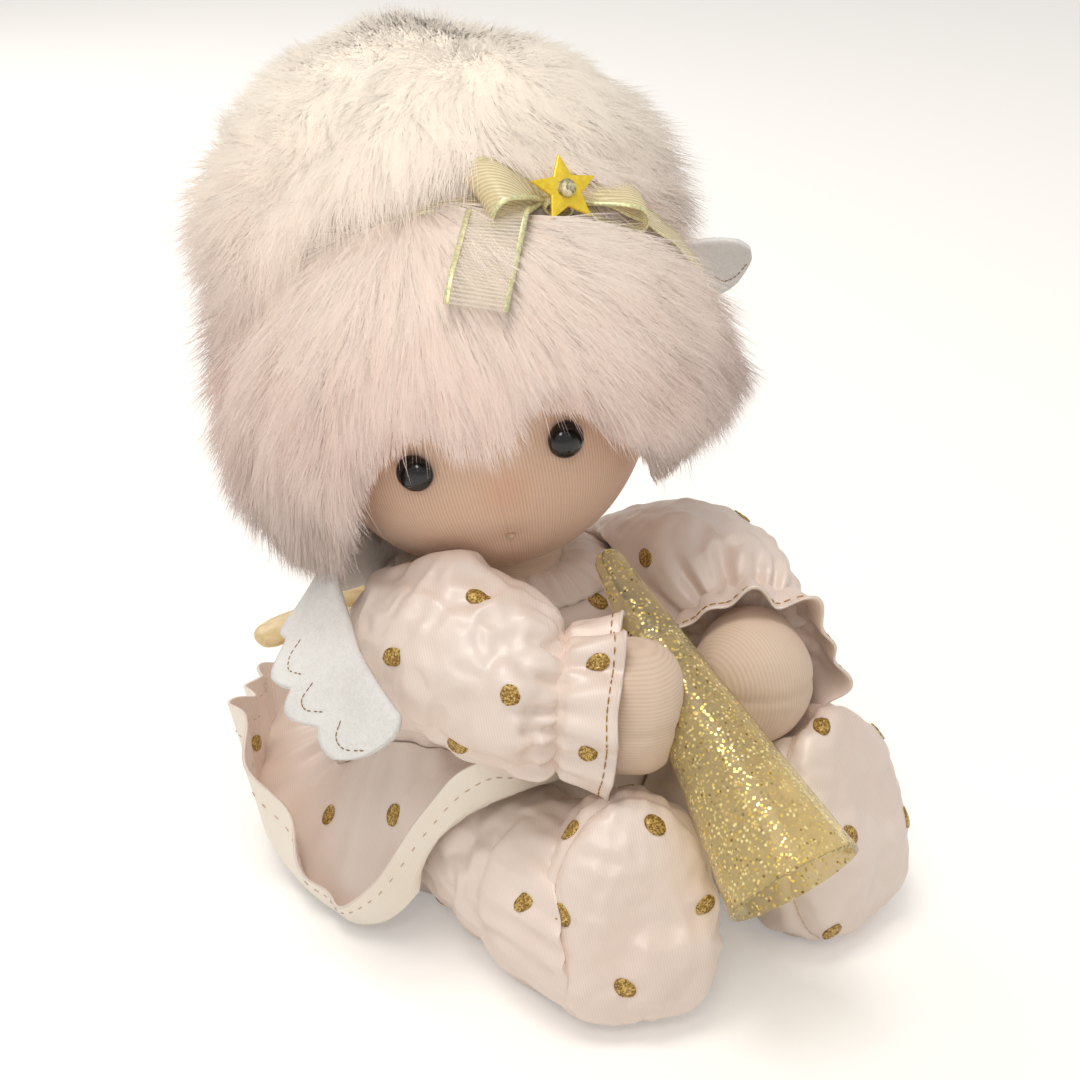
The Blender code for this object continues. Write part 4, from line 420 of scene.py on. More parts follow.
# Jersey of the hands, with fainter painted shade in its rib grooves
HAND_KNIT = Knit(name="hand_jersey", rib_mm=0.7, ground="#E4CDB8", groove="#DAC0AA", depth=0.12,
                 run=KnitRun.LEVEL)
HAND_KNIT_LEFT = replace(HAND_KNIT, name="hand_jersey_left", run=KnitRun.UPRIGHT)
PILE = Plush()
FELT = Felt()
DOTS = Glitter()
STUD = Glitter(name="stud_glitter", dark="#8C8468", mid="#BDB38E", bright="#EFE6C0", flake_mm=0.7)
HORN = HornResin()
RIBBON = Organza()
BOW_RIBBON = Organza(name="organza_bow", ground="#FBEEC2", sheer=0.5)
STAR_GOLD = Moulded(name="lacquered_gold_sheet", ground="#F8DC48", shade="#EFC832", grain_mm=0.8,
                    roughness=0.34, metallic=0.45)
EYE_BLACK = Moulded(name="black_acrylic", ground="#0B0A0A", shade="#060505", roughness=0.07, gloss=0.6)
IVORY = Moulded(name="ivory_polystyrene")
GOLD_THREAD = Moulded(name="gold_lame_thread", ground="#B8903E", shade="#8A6526", grain_mm=0.4, roughness=0.4,
                      metallic=0.7)
BROWN_THREAD = Moulded(name="brown_cotton_thread", ground="#9A7B55", shade="#7C5F3E", grain_mm=0.4,
                       roughness=0.8)
PALE_THREAD = replace(BROWN_THREAD, name="cream_cotton_thread", ground="#DCC3AE", shade="#C9AC95")
BRASS = Moulded(name="turned_brass", ground="#D0AE62", shade="#B89146", grain_mm=0.5, roughness=0.3,
                metallic=1.0)
STEEL = Moulded(name="brushed_spring_steel", ground="#B9BCC0", shade="#9DA1A6", grain_mm=0.4, roughness=0.32,
                metallic=1.0)
CASE_PLASTIC = Moulded(name="moulded_polystyrene", ground="#E4E2DC", shade="#D6D3CB", roughness=0.5)


def ease(table: Sequence[tuple[float, float]], key: float) -> float:
    """Value at a key, eased between the rows of a table.

    Args:
        table: pairs of key and value, sorted by key.
        key: where to read.

    Returns:
        The eased value.
    """
    if key <= table[0][0]:
        return table[0][1]
    for (k0, v0), (k1, v1) in zip(table, table[1:]):
        if key <= k1:
            t = (key - k0) / (k1 - k0)
            return v0 + (v1 - v0) * t * t * (3 - 2 * t)
    return table[-1][1]


def glide(table: Sequence[tuple[float, float]], key: float) -> float:
    """Value of a smooth curve through a table.

    Args:
        table: keys and values in order.
        key: where to look.

    Returns:
        The value there.
    """
    keys, values = zip(*table)
    slopes = [(values[min(i + 1, len(keys) - 1)] - values[max(i - 1, 0)])
              / (keys[min(i + 1, len(keys) - 1)] - keys[max(i - 1, 0)]) for i in range(len(keys))]
    for i in range(len(keys) - 1):
        if key <= keys[i + 1]:
            gap = keys[i + 1] - keys[i]
            t = min(1, max(0, (key - keys[i]) / gap))
            return (values[i] * (1 + 2 * t) * (1 - t) ** 2 + values[i + 1] * t * t * (3 - 2 * t)
                    + gap * (slopes[i] * t * (1 - t) ** 2 - slopes[i + 1] * t * t * (1 - t)))
    return values[-1]


def spline(points: Sequence[Vector], share: float) -> Vector:
    """Point on a smooth curve through points.

    Args:
        points: points that the curve passes through.
        share: share of the run, 0 to 1.

    Returns:
        The point there.
    """
    last = len(points) - 1
    k = min(int(share * last), last - 1)
    t = share * last - k
    p = [points[max(0, min(last, k + d))] for d in (-1, 0, 1, 2)]
    w = (-t + 2 * t * t - t ** 3, 2 - 5 * t * t + 3 * t ** 3, t + 4 * t * t - 3 * t ** 3, -t * t + t ** 3)
    return sum((q * (0.5 * f) for q, f in zip(p, w)), Vector())


def axes(origin: Vector, x: Vector, y: Vector, z: Vector) -> Matrix:
    """Frame at a point with its three axes along unit vectors."""
    return Matrix.Translation(origin) @ Matrix((x, y, z)).transposed().to_4x4()


def facing(origin: Vector, z_dir: Vector, x_hint: Vector = X_AXIS) -> Matrix:
    """Frame at a point with its Z axis along a direction.

    Args:
        origin: the frame's place.
        z_dir: direction of its Z axis.
        x_hint: direction that its X axis leans to.

    Returns:
        The frame as a matrix.
    """
    z = z_dir.normalized()
    y = z.cross(x_hint).normalized()
    return axes(origin, y.cross(z), y, z)


def cloth_grid(columns: int, rows: int, place: Place, wrap: bool = False) -> BMesh:
    """Lay a grid of faces over a surface given by two shares, with a UV map of those shares.

    Args:
        columns: faces along the first share.
        rows: faces along the second share.
        place: gives the point at two shares, 0 to 1.
        wrap: whether the first share closes on itself.

    Returns:
        The new bmesh.
    """
    bm = bmesh.new()
    layer = bm.loops.layers.uv.new("UVMap")
    bmesh.ops.create_grid(bm, x_segments=columns, y_segments=rows, size=0.5)
    shares = {vert: (vert.co.x + 0.5, vert.co.y + 0.5) for vert in bm.verts}
    for face in bm.faces:
        for loop in face.loops:
            loop[layer].uv = shares[loop.vert]
    for vert, (u, v) in shares.items():
        vert.co = place(u, v)
    if wrap:
        bmesh.ops.remove_doubles(bm, verts=bm.verts, dist=1e-7)
    bmesh.ops.recalc_face_normals(bm, faces=bm.faces)
    return bm


def spun(profile: Sequence[tuple[float, float]], place: Matrix, steps: int = 48) -> BMesh:
    """Turn a profile of heights and radii round a frame's Z axis.

    Args:
        profile: pairs of height and radius.
        place: the frame.
        steps: faces round the turn.

    Returns:
        The new bmesh.
    """
    bm = bmesh.new()
    verts = [bm.verts.new((radius, 0, height)) for height, radius in profile]
    edges = [bm.edges.new(pair) for pair in zip(verts, verts[1:])]
    bmesh.ops.spin(bm, geom=verts + edges, cent=(0, 0, 0), axis=(0, 0, 1), angle=tau, steps=steps,
                   use_merge=True)
    bmesh.ops.remove_doubles(bm, verts=bm.verts, dist=1e-6)
    bmesh.ops.recalc_face_normals(bm, faces=bm.faces)
    bmesh.ops.transform(bm, matrix=place, verts=bm.verts)
    return bm


def new_object(shape: BMesh | ID, name: str) -> Object:
    """Link a new object into the scene.

    Args:
        shape: a bmesh, which becomes a mesh of that name, or the object's data.
        name: the object's name.

    Returns:
        The object.
    """
    data = shape
    if isinstance(shape, BMesh):
        data = bpy.data.meshes.new(name)
        shape.to_mesh(data)
    made = bpy.data.objects.new(name, data)
    bpy.context.scene.collection.objects.link(made)
    return made


def discard(helper: Object, copy: Mesh) -> None:
    """Remove a helper object, its mesh and the mesh that was made from it."""
    start = helper.data
    bpy.data.objects.remove(helper)
    for mesh in (start, copy):
        bpy.data.meshes.remove(mesh)


def dome(base: float, rise: float, radius: float, angles: Sequence[float]) -> list[tuple[float, float]]:
    """Heights and radii up a dome, at angles in degrees above its base."""
    return [(base + rise * sin(a * DEG), radius * cos(a * DEG)) for a in angles]


def put(shape: BMesh | Mesh, name: str, finish: Finish, body: Body | None,
        nodes: Sequence[str] = (), thickness: float = 0.0, levels: int = 0) -> Object:
    """Make a shape a piece that rides on a body.

    Args:
        shape: a mesh, or a bmesh, which is freed.
        name: the piece's name.
        finish: its finish.
        body: the body it rides on, or none.
        nodes: CAD nodes it stands for.
        thickness: cloth thickness added as a shell, or none.
        levels: subdivision levels.

    Returns:
        The piece.
    """
    piece = new_object(shape, name)
    if isinstance(shape, BMesh):
        shape.free()
    piece.data.shade_smooth()
    piece.data.materials.append(finish.material())
    if thickness:
        shell = piece.modifiers.new("cloth thickness", "SOLIDIFY")
        shell.thickness = thickness
        shell.offset = 0
    if levels:
        fine = piece.modifiers.new("smooth", "SUBSURF")
        fine.levels = fine.render_levels = levels
    if body:
        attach(piece, body.value)
    if nodes:
        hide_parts(*nodes)
    LOG.info("%s: %d faces", name, len(piece.data.polygons))
    return piece


def soften(bm: BMesh, rounds: int) -> None:
    """Smooth a skin evenly and bring its normals up to date."""
    for _ in range(rounds):
        bmesh.ops.smooth_vert(bm, verts=bm.verts, factor=0.5, use_axis_x=True, use_axis_y=True,
                              use_axis_z=True)
    bm.normal_update()


def cad_shape(node: str) -> BMesh:
    """Merged copy of a CAD node's mesh."""
    bm = bmesh.new()
    bm.from_mesh(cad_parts[node].data)
    bmesh.ops.remove_doubles(bm, verts=bm.verts, dist=1e-6)
    return bm


def tree_of(bm: BMesh) -> BVHTree:
    """Search tree of a bmesh."""
    return BVHTree.FromBMesh(bm)


def evaluated(piece: Object) -> Mesh:
    """New mesh of an object with its modifiers applied."""
    bpy.context.view_layer.update()
    graph = bpy.context.evaluated_depsgraph_get()
    return bpy.data.meshes.new_from_object(piece.evaluated_get(graph))


def waver(point: Vector, size_mm: float, seed: float = 0.0) -> float:
    """Smooth noise of about plus or minus one at a point, with features of a real size."""
    return noise.noise(point / (size_mm * MM) + Vector((seed, 1.7 * seed, -seed)))


def first_hit(start: Vector, way: Vector, trees: Sequence[BVHTree]) -> tuple[Vector, Vector] | None:
    """Point and normal of the first surface that a ray meets, or None."""
    hits = [hit for tree in trees if (hit := tree.ray_cast(start, way))[0] is not None]
    return min(hits, key=lambda hit: hit[3])[:2] if hits else None


@dataclass(frozen=True)
class View:
    """The photograph's viewpoint, for the camera and for details placed by where they are seen."""

    target: Vector = Vector((0, -12 * MM, 78 * MM))
    distance: float = 440.0 * MM
    azimuth: float = -40.0 * DEG
    elevation: float = 25.0 * DEG
    focal_px: float = 2024.0
    half_px: float = 540.0

    @property
    def toward(self) -> Vector:
        """Direction from the target to the camera."""
        level = cos(self.elevation)
        return Vector((sin(self.azimuth) * level, -cos(self.azimuth) * level, sin(self.elevation)))

    @property
    def eye(self) -> Vector:
        """Place of the camera."""
        return self.target + self.toward * self.distance

    def ray(self, pixel: tuple[float, float]) -> Vector:
        """Direction of sight through a pixel of the 1080 by 1080 image."""
        right = Vector((cos(self.azimuth), sin(self.azimuth), 0))
        up = self.toward.cross(right)
        across = (pixel[0] - self.half_px) / self.focal_px
        down = (pixel[1] - self.half_px) / self.focal_px
        return (right * across - up * down - self.toward).normalized()

    def hit(self, pixel: tuple[float, float], trees: Sequence[BVHTree]) -> tuple[Vector, Vector] | None:
        """Point and normal of the first surface seen at a pixel, or None."""
        return first_hit(self.eye, self.ray(pixel), trees)


VIEW = View()


@dataclass(frozen=True)
class Printed:
    """Cloth that carries printed dots, with half its thickness."""

    tree: BVHTree
    half: float = 0.0


@dataclass
class SoftJob:
    """One stuffed piece that is blown up as cloth."""

    node: str
    pin: Callable[[Vector], float]
    voxel: float = 1.2 * MM
    spare: float = 0.09
    pressure: float = 4.0
    cap: float = 2.4 * MM
    inset: float = 0.7 * MM
    hold: float = 0.22
    shape: Callable[[BMesh], None] | None = None


@dataclass
class SoftShop:
    """Blows up all stuffed pieces in one cloth run; sewn seams are pinned and spare cloth puckers there."""

    scale: float = 10.0
    frames: int = 24
    smoothing: int = 3
    solver: tuple = (("quality", 4), ("mass", 0.3), ("tension_stiffness", 12), ("compression_stiffness", 12),
                     ("shear_stiffness", 4), ("bending_stiffness", 0.6), ("pin_stiffness", 0.6),
                     ("use_pressure", True), ("vertex_group_mass", "seams"))
    jobs: list[SoftJob] = field(default_factory=list)
    made: dict[str, BMesh] = field(default_factory=dict)

    def start_shape(self, job: SoftJob) -> BMesh:
        """Even, slightly slim skin of the job's CAD node."""
        bm = even_skin(job.node, job.voxel, 8, -job.inset)
        if job.shape:
            job.shape(bm)
            bm.normal_update()
        return bm

    def run(self) -> None:
        """Make every job's shape."""
        shapes = {job.node: self.start_shape(job) for job in self.jobs}
        pieces = [self.cloth(job, shapes[job.node]) for job in self.jobs]
        scene = bpy.context.scene
        for step in range(1, self.frames + 1):
            scene.frame_set(step)
        for job, piece in zip(self.jobs, pieces):
            blown = evaluated(piece)
            bm = shapes[job.node]
            bm.verts.ensure_lookup_table()
            for vert in blown.vertices:
                own = bm.verts[vert.index]
                move = vert.co / self.scale - own.co
                if move.length > job.cap:
                    move *= job.cap / move.length
                own.co += move
                own.co.z = max(own.co.z, GROUND)
            soften(bm, self.smoothing)
            self.made[job.node] = bm
            discard(piece, blown)
        scene.frame_set(1)

    def cloth(self, job: SoftJob, bm: BMesh) -> Object:
        """Simulated copy of a shape, enlarged so that the solver works at room size.

        Args:
            job: what to blow up.
            bm: its start shape.

        Returns:
            The copy with its cloth modifier.
        """
        piece = new_object(bm, "cloth_run")
        weights = [max(job.pin(vert.co), job.hold * (1 + 0.8 * waver(vert.co, 14, 9)))
                   for vert in piece.data.vertices]
        piece.data.transform(Matrix.Scale(self.scale, 4))
        group = piece.vertex_groups.new(name="seams")
        for index, weight in enumerate(weights):
            if weight > 0:
                group.add([index], weight, "REPLACE")
        cloth = piece.modifiers.new("cloth", "CLOTH").settings
        for key, value in self.solver:
            setattr(cloth, key, value)
        cloth.uniform_pressure_force = job.pressure
        cloth.shrink_min = -job.spare
        cloth.effector_weights.gravity = 0
        return piece


def even_skin(node: str, voxel: float, smooth: int, grow: float = 0.0) -> BMesh:
    """Evenly faced, rounded skin of a CAD node.

    Args:
        node: the CAD node.
        voxel: size of the faces.
        smooth: rounds of smoothing.
        grow: distance that the skin is moved outward.

    Returns:
        The new bmesh.
    """
    bm = cad_shape(node)
    piece = new_object(bm, "skin_start")
    even = piece.modifiers.new("even", "REMESH")
    even.mode = "VOXEL"
    even.voxel_size = voxel
    skin = evaluated(piece)
    bm.clear()
    bm.from_mesh(skin)
    discard(piece, skin)
    soften(bm, smooth)
    for vert in bm.verts:
        vert.co += vert.normal * grow
    bm.normal_update()
    return bm


def stitches(spots: Sequence[tuple[Vector, Vector, Vector]], length: float, width: float) -> BMesh:
    """Row of short raised stitches.

    Args:
        spots: point, surface normal and direction of each stitch.
        length: length of a stitch.
        width: thickness of the thread.

    Returns:
        The new bmesh.
    """
    bm = bmesh.new()
    for spot, normal, run in spots:
        flat = (run - normal * run.dot(normal)).normalized()
        place = facing(spot, normal, flat) @ Matrix.Diagonal((length / 2, width / 2, width / 2, 1))
        bmesh.ops.create_uvsphere(bm, u_segments=6, v_segments=4, radius=1, matrix=place)
    bmesh.ops.recalc_face_normals(bm, faces=bm.faces)
    return bm


@dataclass(frozen=True)
class TrunkForm:
    """Shape of the stuffed trunk, which the tunic follows."""

    height: float = 70.0 * MM
    half_width: float = 42.0 * MM
    half_depth: float = 38.0 * MM
    waist_front: float = 41.1 * MM
    waist_back: float = 26.5 * MM
    bodice_top: float = 67.6 * MM
    rows: tuple = ((0, 0.84, 0.84), (0.04, 0.93, 0.93), (0.14, 0.99, 0.99), (0.28, 1, 1), (0.45, 0.96, 0.97),
                   (0.62, 0.88, 0.91), (0.78, 0.78, 0.82), (0.9, 0.66, 0.71), (1, 0.5, 0.56))

    def point(self, angle: float, z: float, out: float) -> Vector:
        """Point on the trunk.

        Args:
            angle: turn from the front.
            z: height.
            out: distance outside the trunk.

        Returns:
            The point.
        """
        share = z / self.height
        wide = self.half_width * ease([(row[0], row[1]) for row in self.rows], share) + out
        deep = self.half_depth * ease([(row[0], row[2]) for row in self.rows], share) + out
        return Vector((wide * sin(angle), -deep * cos(angle), z))

    def waist(self, angle: float) -> float:
        """Height of the waist seam."""
        front = ease([(-0.35, 0), (0.3, 1)], cos(angle))
        return self.waist_back + (self.waist_front - self.waist_back) * front


TRUNK = TrunkForm()


@dataclass(frozen=True)
class LegForm:
    """Shape of a stuffed leg lying forward from the hip."""

    spread: float = 27.5 * MM
    reach: float = 61.0 * MM
    radius: float = 18.3 * MM
    centre_height: float = 17.8 * MM
    clearance: float = 2.6 * MM
    rows: tuple = ((0, -0.07, 0.68), (0, 0.03, 0.78), (0.25, 0.25, 0.98), (0.6, 0.55, 1), (0.85, 0.8, 0.93),
                   (1, 1, 0.76))

    def stations(self, side: Side, count: int = 40) -> list[tuple[Vector, float]]:
        """Centres and radii along a leg."""
        rows = [Vector((side * self.spread * (0.78 + 0.22 * out), -self.reach * reach, self.radius * size))
                for out, reach, size in self.rows]
        made = []
        for i in range(count + 1):
            row = spline(rows, i / count)
            made.append((Vector((row.x, row.y, self.centre_height)), row.z))
        return made


LEGS = LegForm()
LEG_STATIONS = [station for side in Side for station in LEGS.stations(side)]


def lap_height(x: float, y: float) -> float:
    """Height of cloth lying on the lap at a point, or none off the legs."""
    top = 0
    for centre, radius in LEG_STATIONS:
        room = radius + LEGS.clearance
        if abs(y - centre.y) < 4 * MM and abs(x - centre.x) < room:
            top = max(top, centre.z + sqrt(room ** 2 - (x - centre.x) ** 2))
    return top


@dataclass
class Tunic:
    """Satin tunic: fitted bodice, flared peplum with a flipped hem, and a small gathered collar."""

    cloth: float = 0.7 * MM
    gathers: int = 38
    hem_stitches: int = 150
    # The hem's stitches lie at this share of the way from the waist to the rim
    hem_row: float = 0.86
    # Degrees from the front, with the height of the fold, the height of the rim and the reach, in mm
    hem_right: tuple = (
        (0, 39, 39, 46.8), (20, 39, 41, 47), (30, 39, 44, 48), (38, 36, 46, 50.5), (45, 31, 48, 53),
        (51, 25, 44, 55), (57, 18, 36, 56), (63, 10, 26, 57), (69, 5, 16, 57.5), (75, 3, 9.5, 57.5),
        (82, 2.5, 7.5, 57.5), (89, 2.8, 11, 58), (96, 4.5, 20, 59), (105, 8, 29, 60), (115, 13, 38, 60.5),
        (130, 16, 34, 61), (155, 18, 28, 62), (180, 18, 26.5, 55.8))
    hem_left: tuple = (
        (0, 39, 39, 46.8), (45, 39, 39, 50.4), (60, 36, 37, 54), (70, 22, 25, 56.4), (82, 8, 13, 60),
        (100, 6.5, 13, 60), (130, 11, 20, 61.2), (155, 17, 26, 62), (180, 18, 26.5, 55.8))
    prints: list[Printed] = field(default_factory=list)

    def build(self) -> None:
        """Make and dress the tunic."""
        self.trunk()
        self.bodice()
        self.peplum()
        self.collar()
        self.neck()

    def trunk(self) -> None:
        """Stuffed trunk under the tunic."""
        piece = put(even_skin("torso", 2.2 * MM, 4), "torso_stuffed", SATIN, Body.DOLL, ["torso"])

    def bodice_point(self, u: float, v: float) -> Vector:
        """Point on the bodice, gathered towards its waist."""
        angle = tau * u - pi
        low = TRUNK.waist(angle)
        z = low + (TRUNK.bodice_top - low) * v
        ripple = 0.5 * MM * (1 - v) ** 2 * sin(self.gathers * angle + 2 * sin(3 * angle))
        return TRUNK.point(angle, z, 0.9 * MM + ripple)

    def bodice(self) -> None:
        """Bodice sheet."""
        bm = cloth_grid(180, 14, self.bodice_point, wrap=True)
        self.prints.append(Printed(tree_of(bm), self.cloth / 2))
        piece = put(bm, "bodice_satin", SATIN, Body.DOLL, ["bodice"], self.cloth)

    def peplum_point(self, u: float, v: float) -> Vector:
        """Point on the peplum between the waist seam and the hem."""
        angle = tau * u - pi
        turn = abs(degrees(angle))
        hem = self.hem_right if angle < 0 else self.hem_left
        fold, rim, reach = (glide([(row[0], row[k] * MM) for row in hem], turn) for k in (1, 2, 3))
        start = TRUNK.point(angle, TRUNK.waist(angle), 0.6 * MM)
        first = hypot(start.x, start.y)
        ruffle = ease([(70, 0), (90, 1), (140, 1), (170, 0.3)], turn) * ease([(0.6, 0), (1, 1)], v)
        wave = 1.6 * MM * v * sin(9 * angle + 0.6) + 1.9 * MM * ruffle * sin(23 * angle)
        out = first + (reach + wave - first) * ease([(0, 0), (0.6, 0.84), (1, 1)], v)
        flat = Vector((sin(angle), -cos(angle), 0)) * out
        z = ease([(0, TRUNK.waist(angle) - 1.1 * MM), (0.62, fold), (1, rim)], v)
        pleat = sin(self.gathers * angle + 2.5 * sin(2 * angle)) + 0.6 * sin(17 * angle + 1)
        z += 0.75 * MM * pleat * ease([(0, 0.2), (0.12, 1), (0.75, 0.15), (1, 0.35)], v)
        z += 1 * MM * waver(flat, 13, 3) * v
        if flat.y < 0:
            z = max(z, lap_height(flat.x, flat.y) + 0.25 * MM)
        return Vector((flat.x, flat.y, max(z, 0.6 * MM) + 0.45 * MM))

    def peplum(self) -> None:
        """Peplum sheet with its wrong side, hem facing and hem stitches."""
        bm = cloth_grid(288, 44, self.peplum_point, wrap=True)
        if sum(face.normal.z for face in bm.faces) < 0:
            bmesh.ops.reverse_faces(bm, faces=bm.faces)
        self.prints.append(Printed(tree_of(bm), self.cloth / 2))
        piece = put(bm, "peplum_satin", SATIN, Body.DOLL, ["peplum"], self.cloth)
        piece.data.materials.append(SATIN_WRONG.material())
        piece.modifiers["cloth thickness"].material_offset = 1
        row = []
        for i in range(self.hem_stitches):
            u = i / self.hem_stitches
            spot = self.peplum_point(u, self.hem_row)
            run = self.peplum_point(u + 0.002, self.hem_row) - spot
            out = self.peplum_point(u, 0.9) - spot
            normal = run.cross(out).normalized()
            for lift in (0.42, -0.42):
                row.append((spot + normal * lift * MM, normal, run))
        hem = put(stitches(row, 1.5 * MM, 0.3 * MM), "peplum_hem_stitches", PALE_THREAD, Body.DOLL)

    def collar_point(self, u: float, v: float) -> Vector:
        """Point on the gathered collar."""
        angle = tau * u - pi
        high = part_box("collar")[1]
        outer = TRUNK.point(angle, TRUNK.bodice_top, 1.8 * MM)
        inner = Vector((0.68 * high.x * sin(angle), -0.74 * high.y * cos(angle), high.z - 0.3 * MM))
        wave = sin(26 * angle + 1.4 * sin(5 * angle)) + 0.4 * sin(41 * angle)
        spot = inner.lerp(outer, v)
        spot.z += (0.5 * sin(pi * v) * 3 + 0.45 * wave * ease([(0, 0.3), (0.5, 1), (1, 0.6)], v)) * MM
        return spot

    def collar(self) -> None:
        """Collar sheet."""
        bm = cloth_grid(208, 10, self.collar_point, wrap=True)
        piece = put(bm, "collar_satin", SATIN, Body.DOLL, ["collar"], 0.5 * MM)

    def neck_point(self, u: float, v: float) -> Vector:
        """Point on the jersey neck between the trunk and the head."""
        angle = tau * u
        wide = ease([(0, 12.6), (0.4, 12.4), (1, 15)], v) * MM
        deep = ease([(0, 15.4), (0.4, 15), (1, 16.5)], v) * MM
        ruck = 0.3 * MM * sin(5 * pi * v + sin(3 * angle))
        return Vector(((wide + ruck) * sin(angle) - 4 * MM * v, -(deep + ruck) * cos(angle),
                       (65.5 + 12.5 * v) * MM))

    def neck(self) -> None:
        """Jersey neck between the trunk and the head."""
        bm = cloth_grid(72, 14, self.neck_point, wrap=True)
        piece = put(bm, "neck_jersey", HAND_KNIT, None, thickness=0.5 * MM)
        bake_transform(piece)


@dataclass
class Arm:
    """Puffed satin sleeve gathered into a frill at the wrist, with a stuffed jersey hand."""

    side: Side
    wrist: Vector = Vector()
    turn: float = 42.0 * DEG
    dip: float = 4.0 * DEG
    hand_radius: float = 13.6 * MM
    frill_length: float = 9.6 * MM
    flare: float = 2.2 * MM
    frill_stitches: int = 62
    # The gold stitches lie at this share of the way down the frill
    frill_row: float = 0.76
    cloth: float = 0.6 * MM
    prints: list[Printed] = field(default_factory=list)

    @property
    def heading(self) -> Vector:
        """Direction in which the hand points."""
        return Vector((-self.side * cos(self.turn), -sin(self.turn), -sin(self.dip))).normalized()

    def pin(self, spot: Vector) -> float:
        """Hold of the sleeve cloth: sewn at the wrist and into the armhole."""
        along = (spot - self.wrist).dot(self.heading)
        near_wrist = max(0, 1 - abs(along) / (2.2 * MM))
        near_root = max(0, min(1, (25 * MM - abs(spot.x)) / (5 * MM)))
        return max(near_wrist, near_root)

    def job(self) -> SoftJob:
        """Cloth job of the sleeve."""
        return SoftJob("sleeve_" + self.side.word, self.pin, spare=0.2, pressure=2.0, cap=3.2 * MM,
                       inset=0.9 * MM)

    def build(self, shop: SoftShop) -> None:
        """Make and dress the arm."""
        word = self.side.word
        bm = shop.made["sleeve_" + word]
        for vert in bm.verts:
            along = (self.wrist - vert.co).dot(self.heading)
            across = vert.co - self.wrist + self.heading * along
            room = ease([(-4 * MM, 8 * MM), (0.5 * MM, 12.4 * MM), (4 * MM, 17 * MM)], along)
            if along < 4 * MM and across.length > room:
                vert.co -= across * (1 - room / across.length)
            if -1 * MM < along < 34 * MM:
                around = vert.co - self.wrist
                frame_x = self.heading.cross(Z_AXIS).normalized()
                frame_y = self.heading.cross(frame_x)
                angle = atan2(around.dot(frame_y), around.dot(frame_x))
                fade = ease([(-1 * MM, 0), (3.5 * MM, 1), (14 * MM, 0)], along)
                tuck = sin(17 * angle + 1.8 * sin(3 * angle)) + 0.5 * sin(27 * angle + 1)
                broad = ease([(1 * MM, 0), (9 * MM, 1), (34 * MM, 0)], along)
                fold = sin(6 * angle + 1.3 * sin(2 * angle) + 40 * along) + 0.6 * sin(9 * angle + 2)
                vert.co += vert.normal * (1.2 * MM * fade * tuck + 0.6 * MM * broad * fold)
        self.prints.append(Printed(tree_of(bm)))
        piece = put(bm, "sleeve_satin_" + word, SATIN, Body.DOLL, ["sleeve_" + word], levels=1)
        self.frill()
        self.hand()

    def frill_point(self, u: float, v: float) -> Vector:
        """Point on the gathered frill round the wrist."""
        angle = tau * u
        place = facing(self.wrist, self.heading, Z_AXIS)
        inner = self.hand_radius * 0.88 * 1.06 + 0.8 * MM
        lag = 0.5 * sin(2 * angle + self.side) + 0.35 * sin(3 * angle)
        swing = sin(6 * angle + 2.2 * lag) + 0.5 * sin(11 * angle + 2 * self.side)
        radius = inner * ease([(0, 0.84), (0.16, 1)], v) + self.flare * v ** 0.8 + 2 * MM * v * (swing + 0.9)
        gather = 0.8 * MM * ease([(0, 0), (0.16, 1), (0.75, 0)], v) * sin(19 * angle + 2 * lag)
        length = ease([(0, -0.36), (0.16, -0.06), (1, 1)], v) * self.frill_length
        length += 0.5 * MM * v * sin(5 * angle + self.side)
        flat = Vector((cos(angle), sin(angle), 0)) * (radius + gather)
        return place @ Vector((flat.x, flat.y, length))

    def frill(self) -> None:
        """Frill sheet with its row of gold stitches."""
        word = self.side.word
        bm = cloth_grid(176, 16, self.frill_point, wrap=True)
        self.prints.append(Printed(tree_of(bm), self.cloth / 2))
        piece = put(bm, "frill_satin_" + word, SATIN, Body.DOLL, ["cuff_ruffle_" + word], self.cloth)
        row = []
        for i in range(self.frill_stitches):
            u = i / self.frill_stitches
            spot = self.frill_point(u, self.frill_row)
            run = self.frill_point(u + 0.004, self.frill_row) - spot
            normal = run.cross(self.heading).normalized()
            if normal.dot(spot - self.wrist) < 0:
                normal = -normal
            row.append((spot + normal * 0.42 * MM, normal, run))
        gold = put(stitches(row, 1.7 * MM, 0.34 * MM), "frill_stitches_" + word, GOLD_THREAD, Body.DOLL)

    def hand(self) -> None:
        """Stuffed jersey hand with a shallow seam down its middle."""
        word = self.side.word
        bm = even_skin("hand_" + word, 1.1 * MM, 6, 0.15 * MM)
        for vert in bm.verts:
            away = abs((vert.co - self.wrist).dot(Z_AXIS) + 1 * MM)
            ahead = (vert.co - self.wrist).dot(self.heading)
            if ahead > 4 * MM:
                vert.co -= vert.normal * (0.5 * MM * exp(-(away / (0.9 * MM)) ** 2))
            vert.co += vert.normal * 0.25 * MM * waver(vert.co, 7, 5 + self.side)
        knit = HAND_KNIT if self.side is Side.RIGHT else HAND_KNIT_LEFT
        piece = put(bm, "hand_jersey_" + word, knit, Body.DOLL, ["hand_" + word], levels=1)


ARMS = (
    Arm(Side.RIGHT, wrist=Vector((-23.5, -49, 62.5)) * MM),
    Arm(Side.LEFT, wrist=Vector((26.5, -50, 59)) * MM, turn=50 * DEG, dip=9 * DEG, flare=4.4 * MM),
)


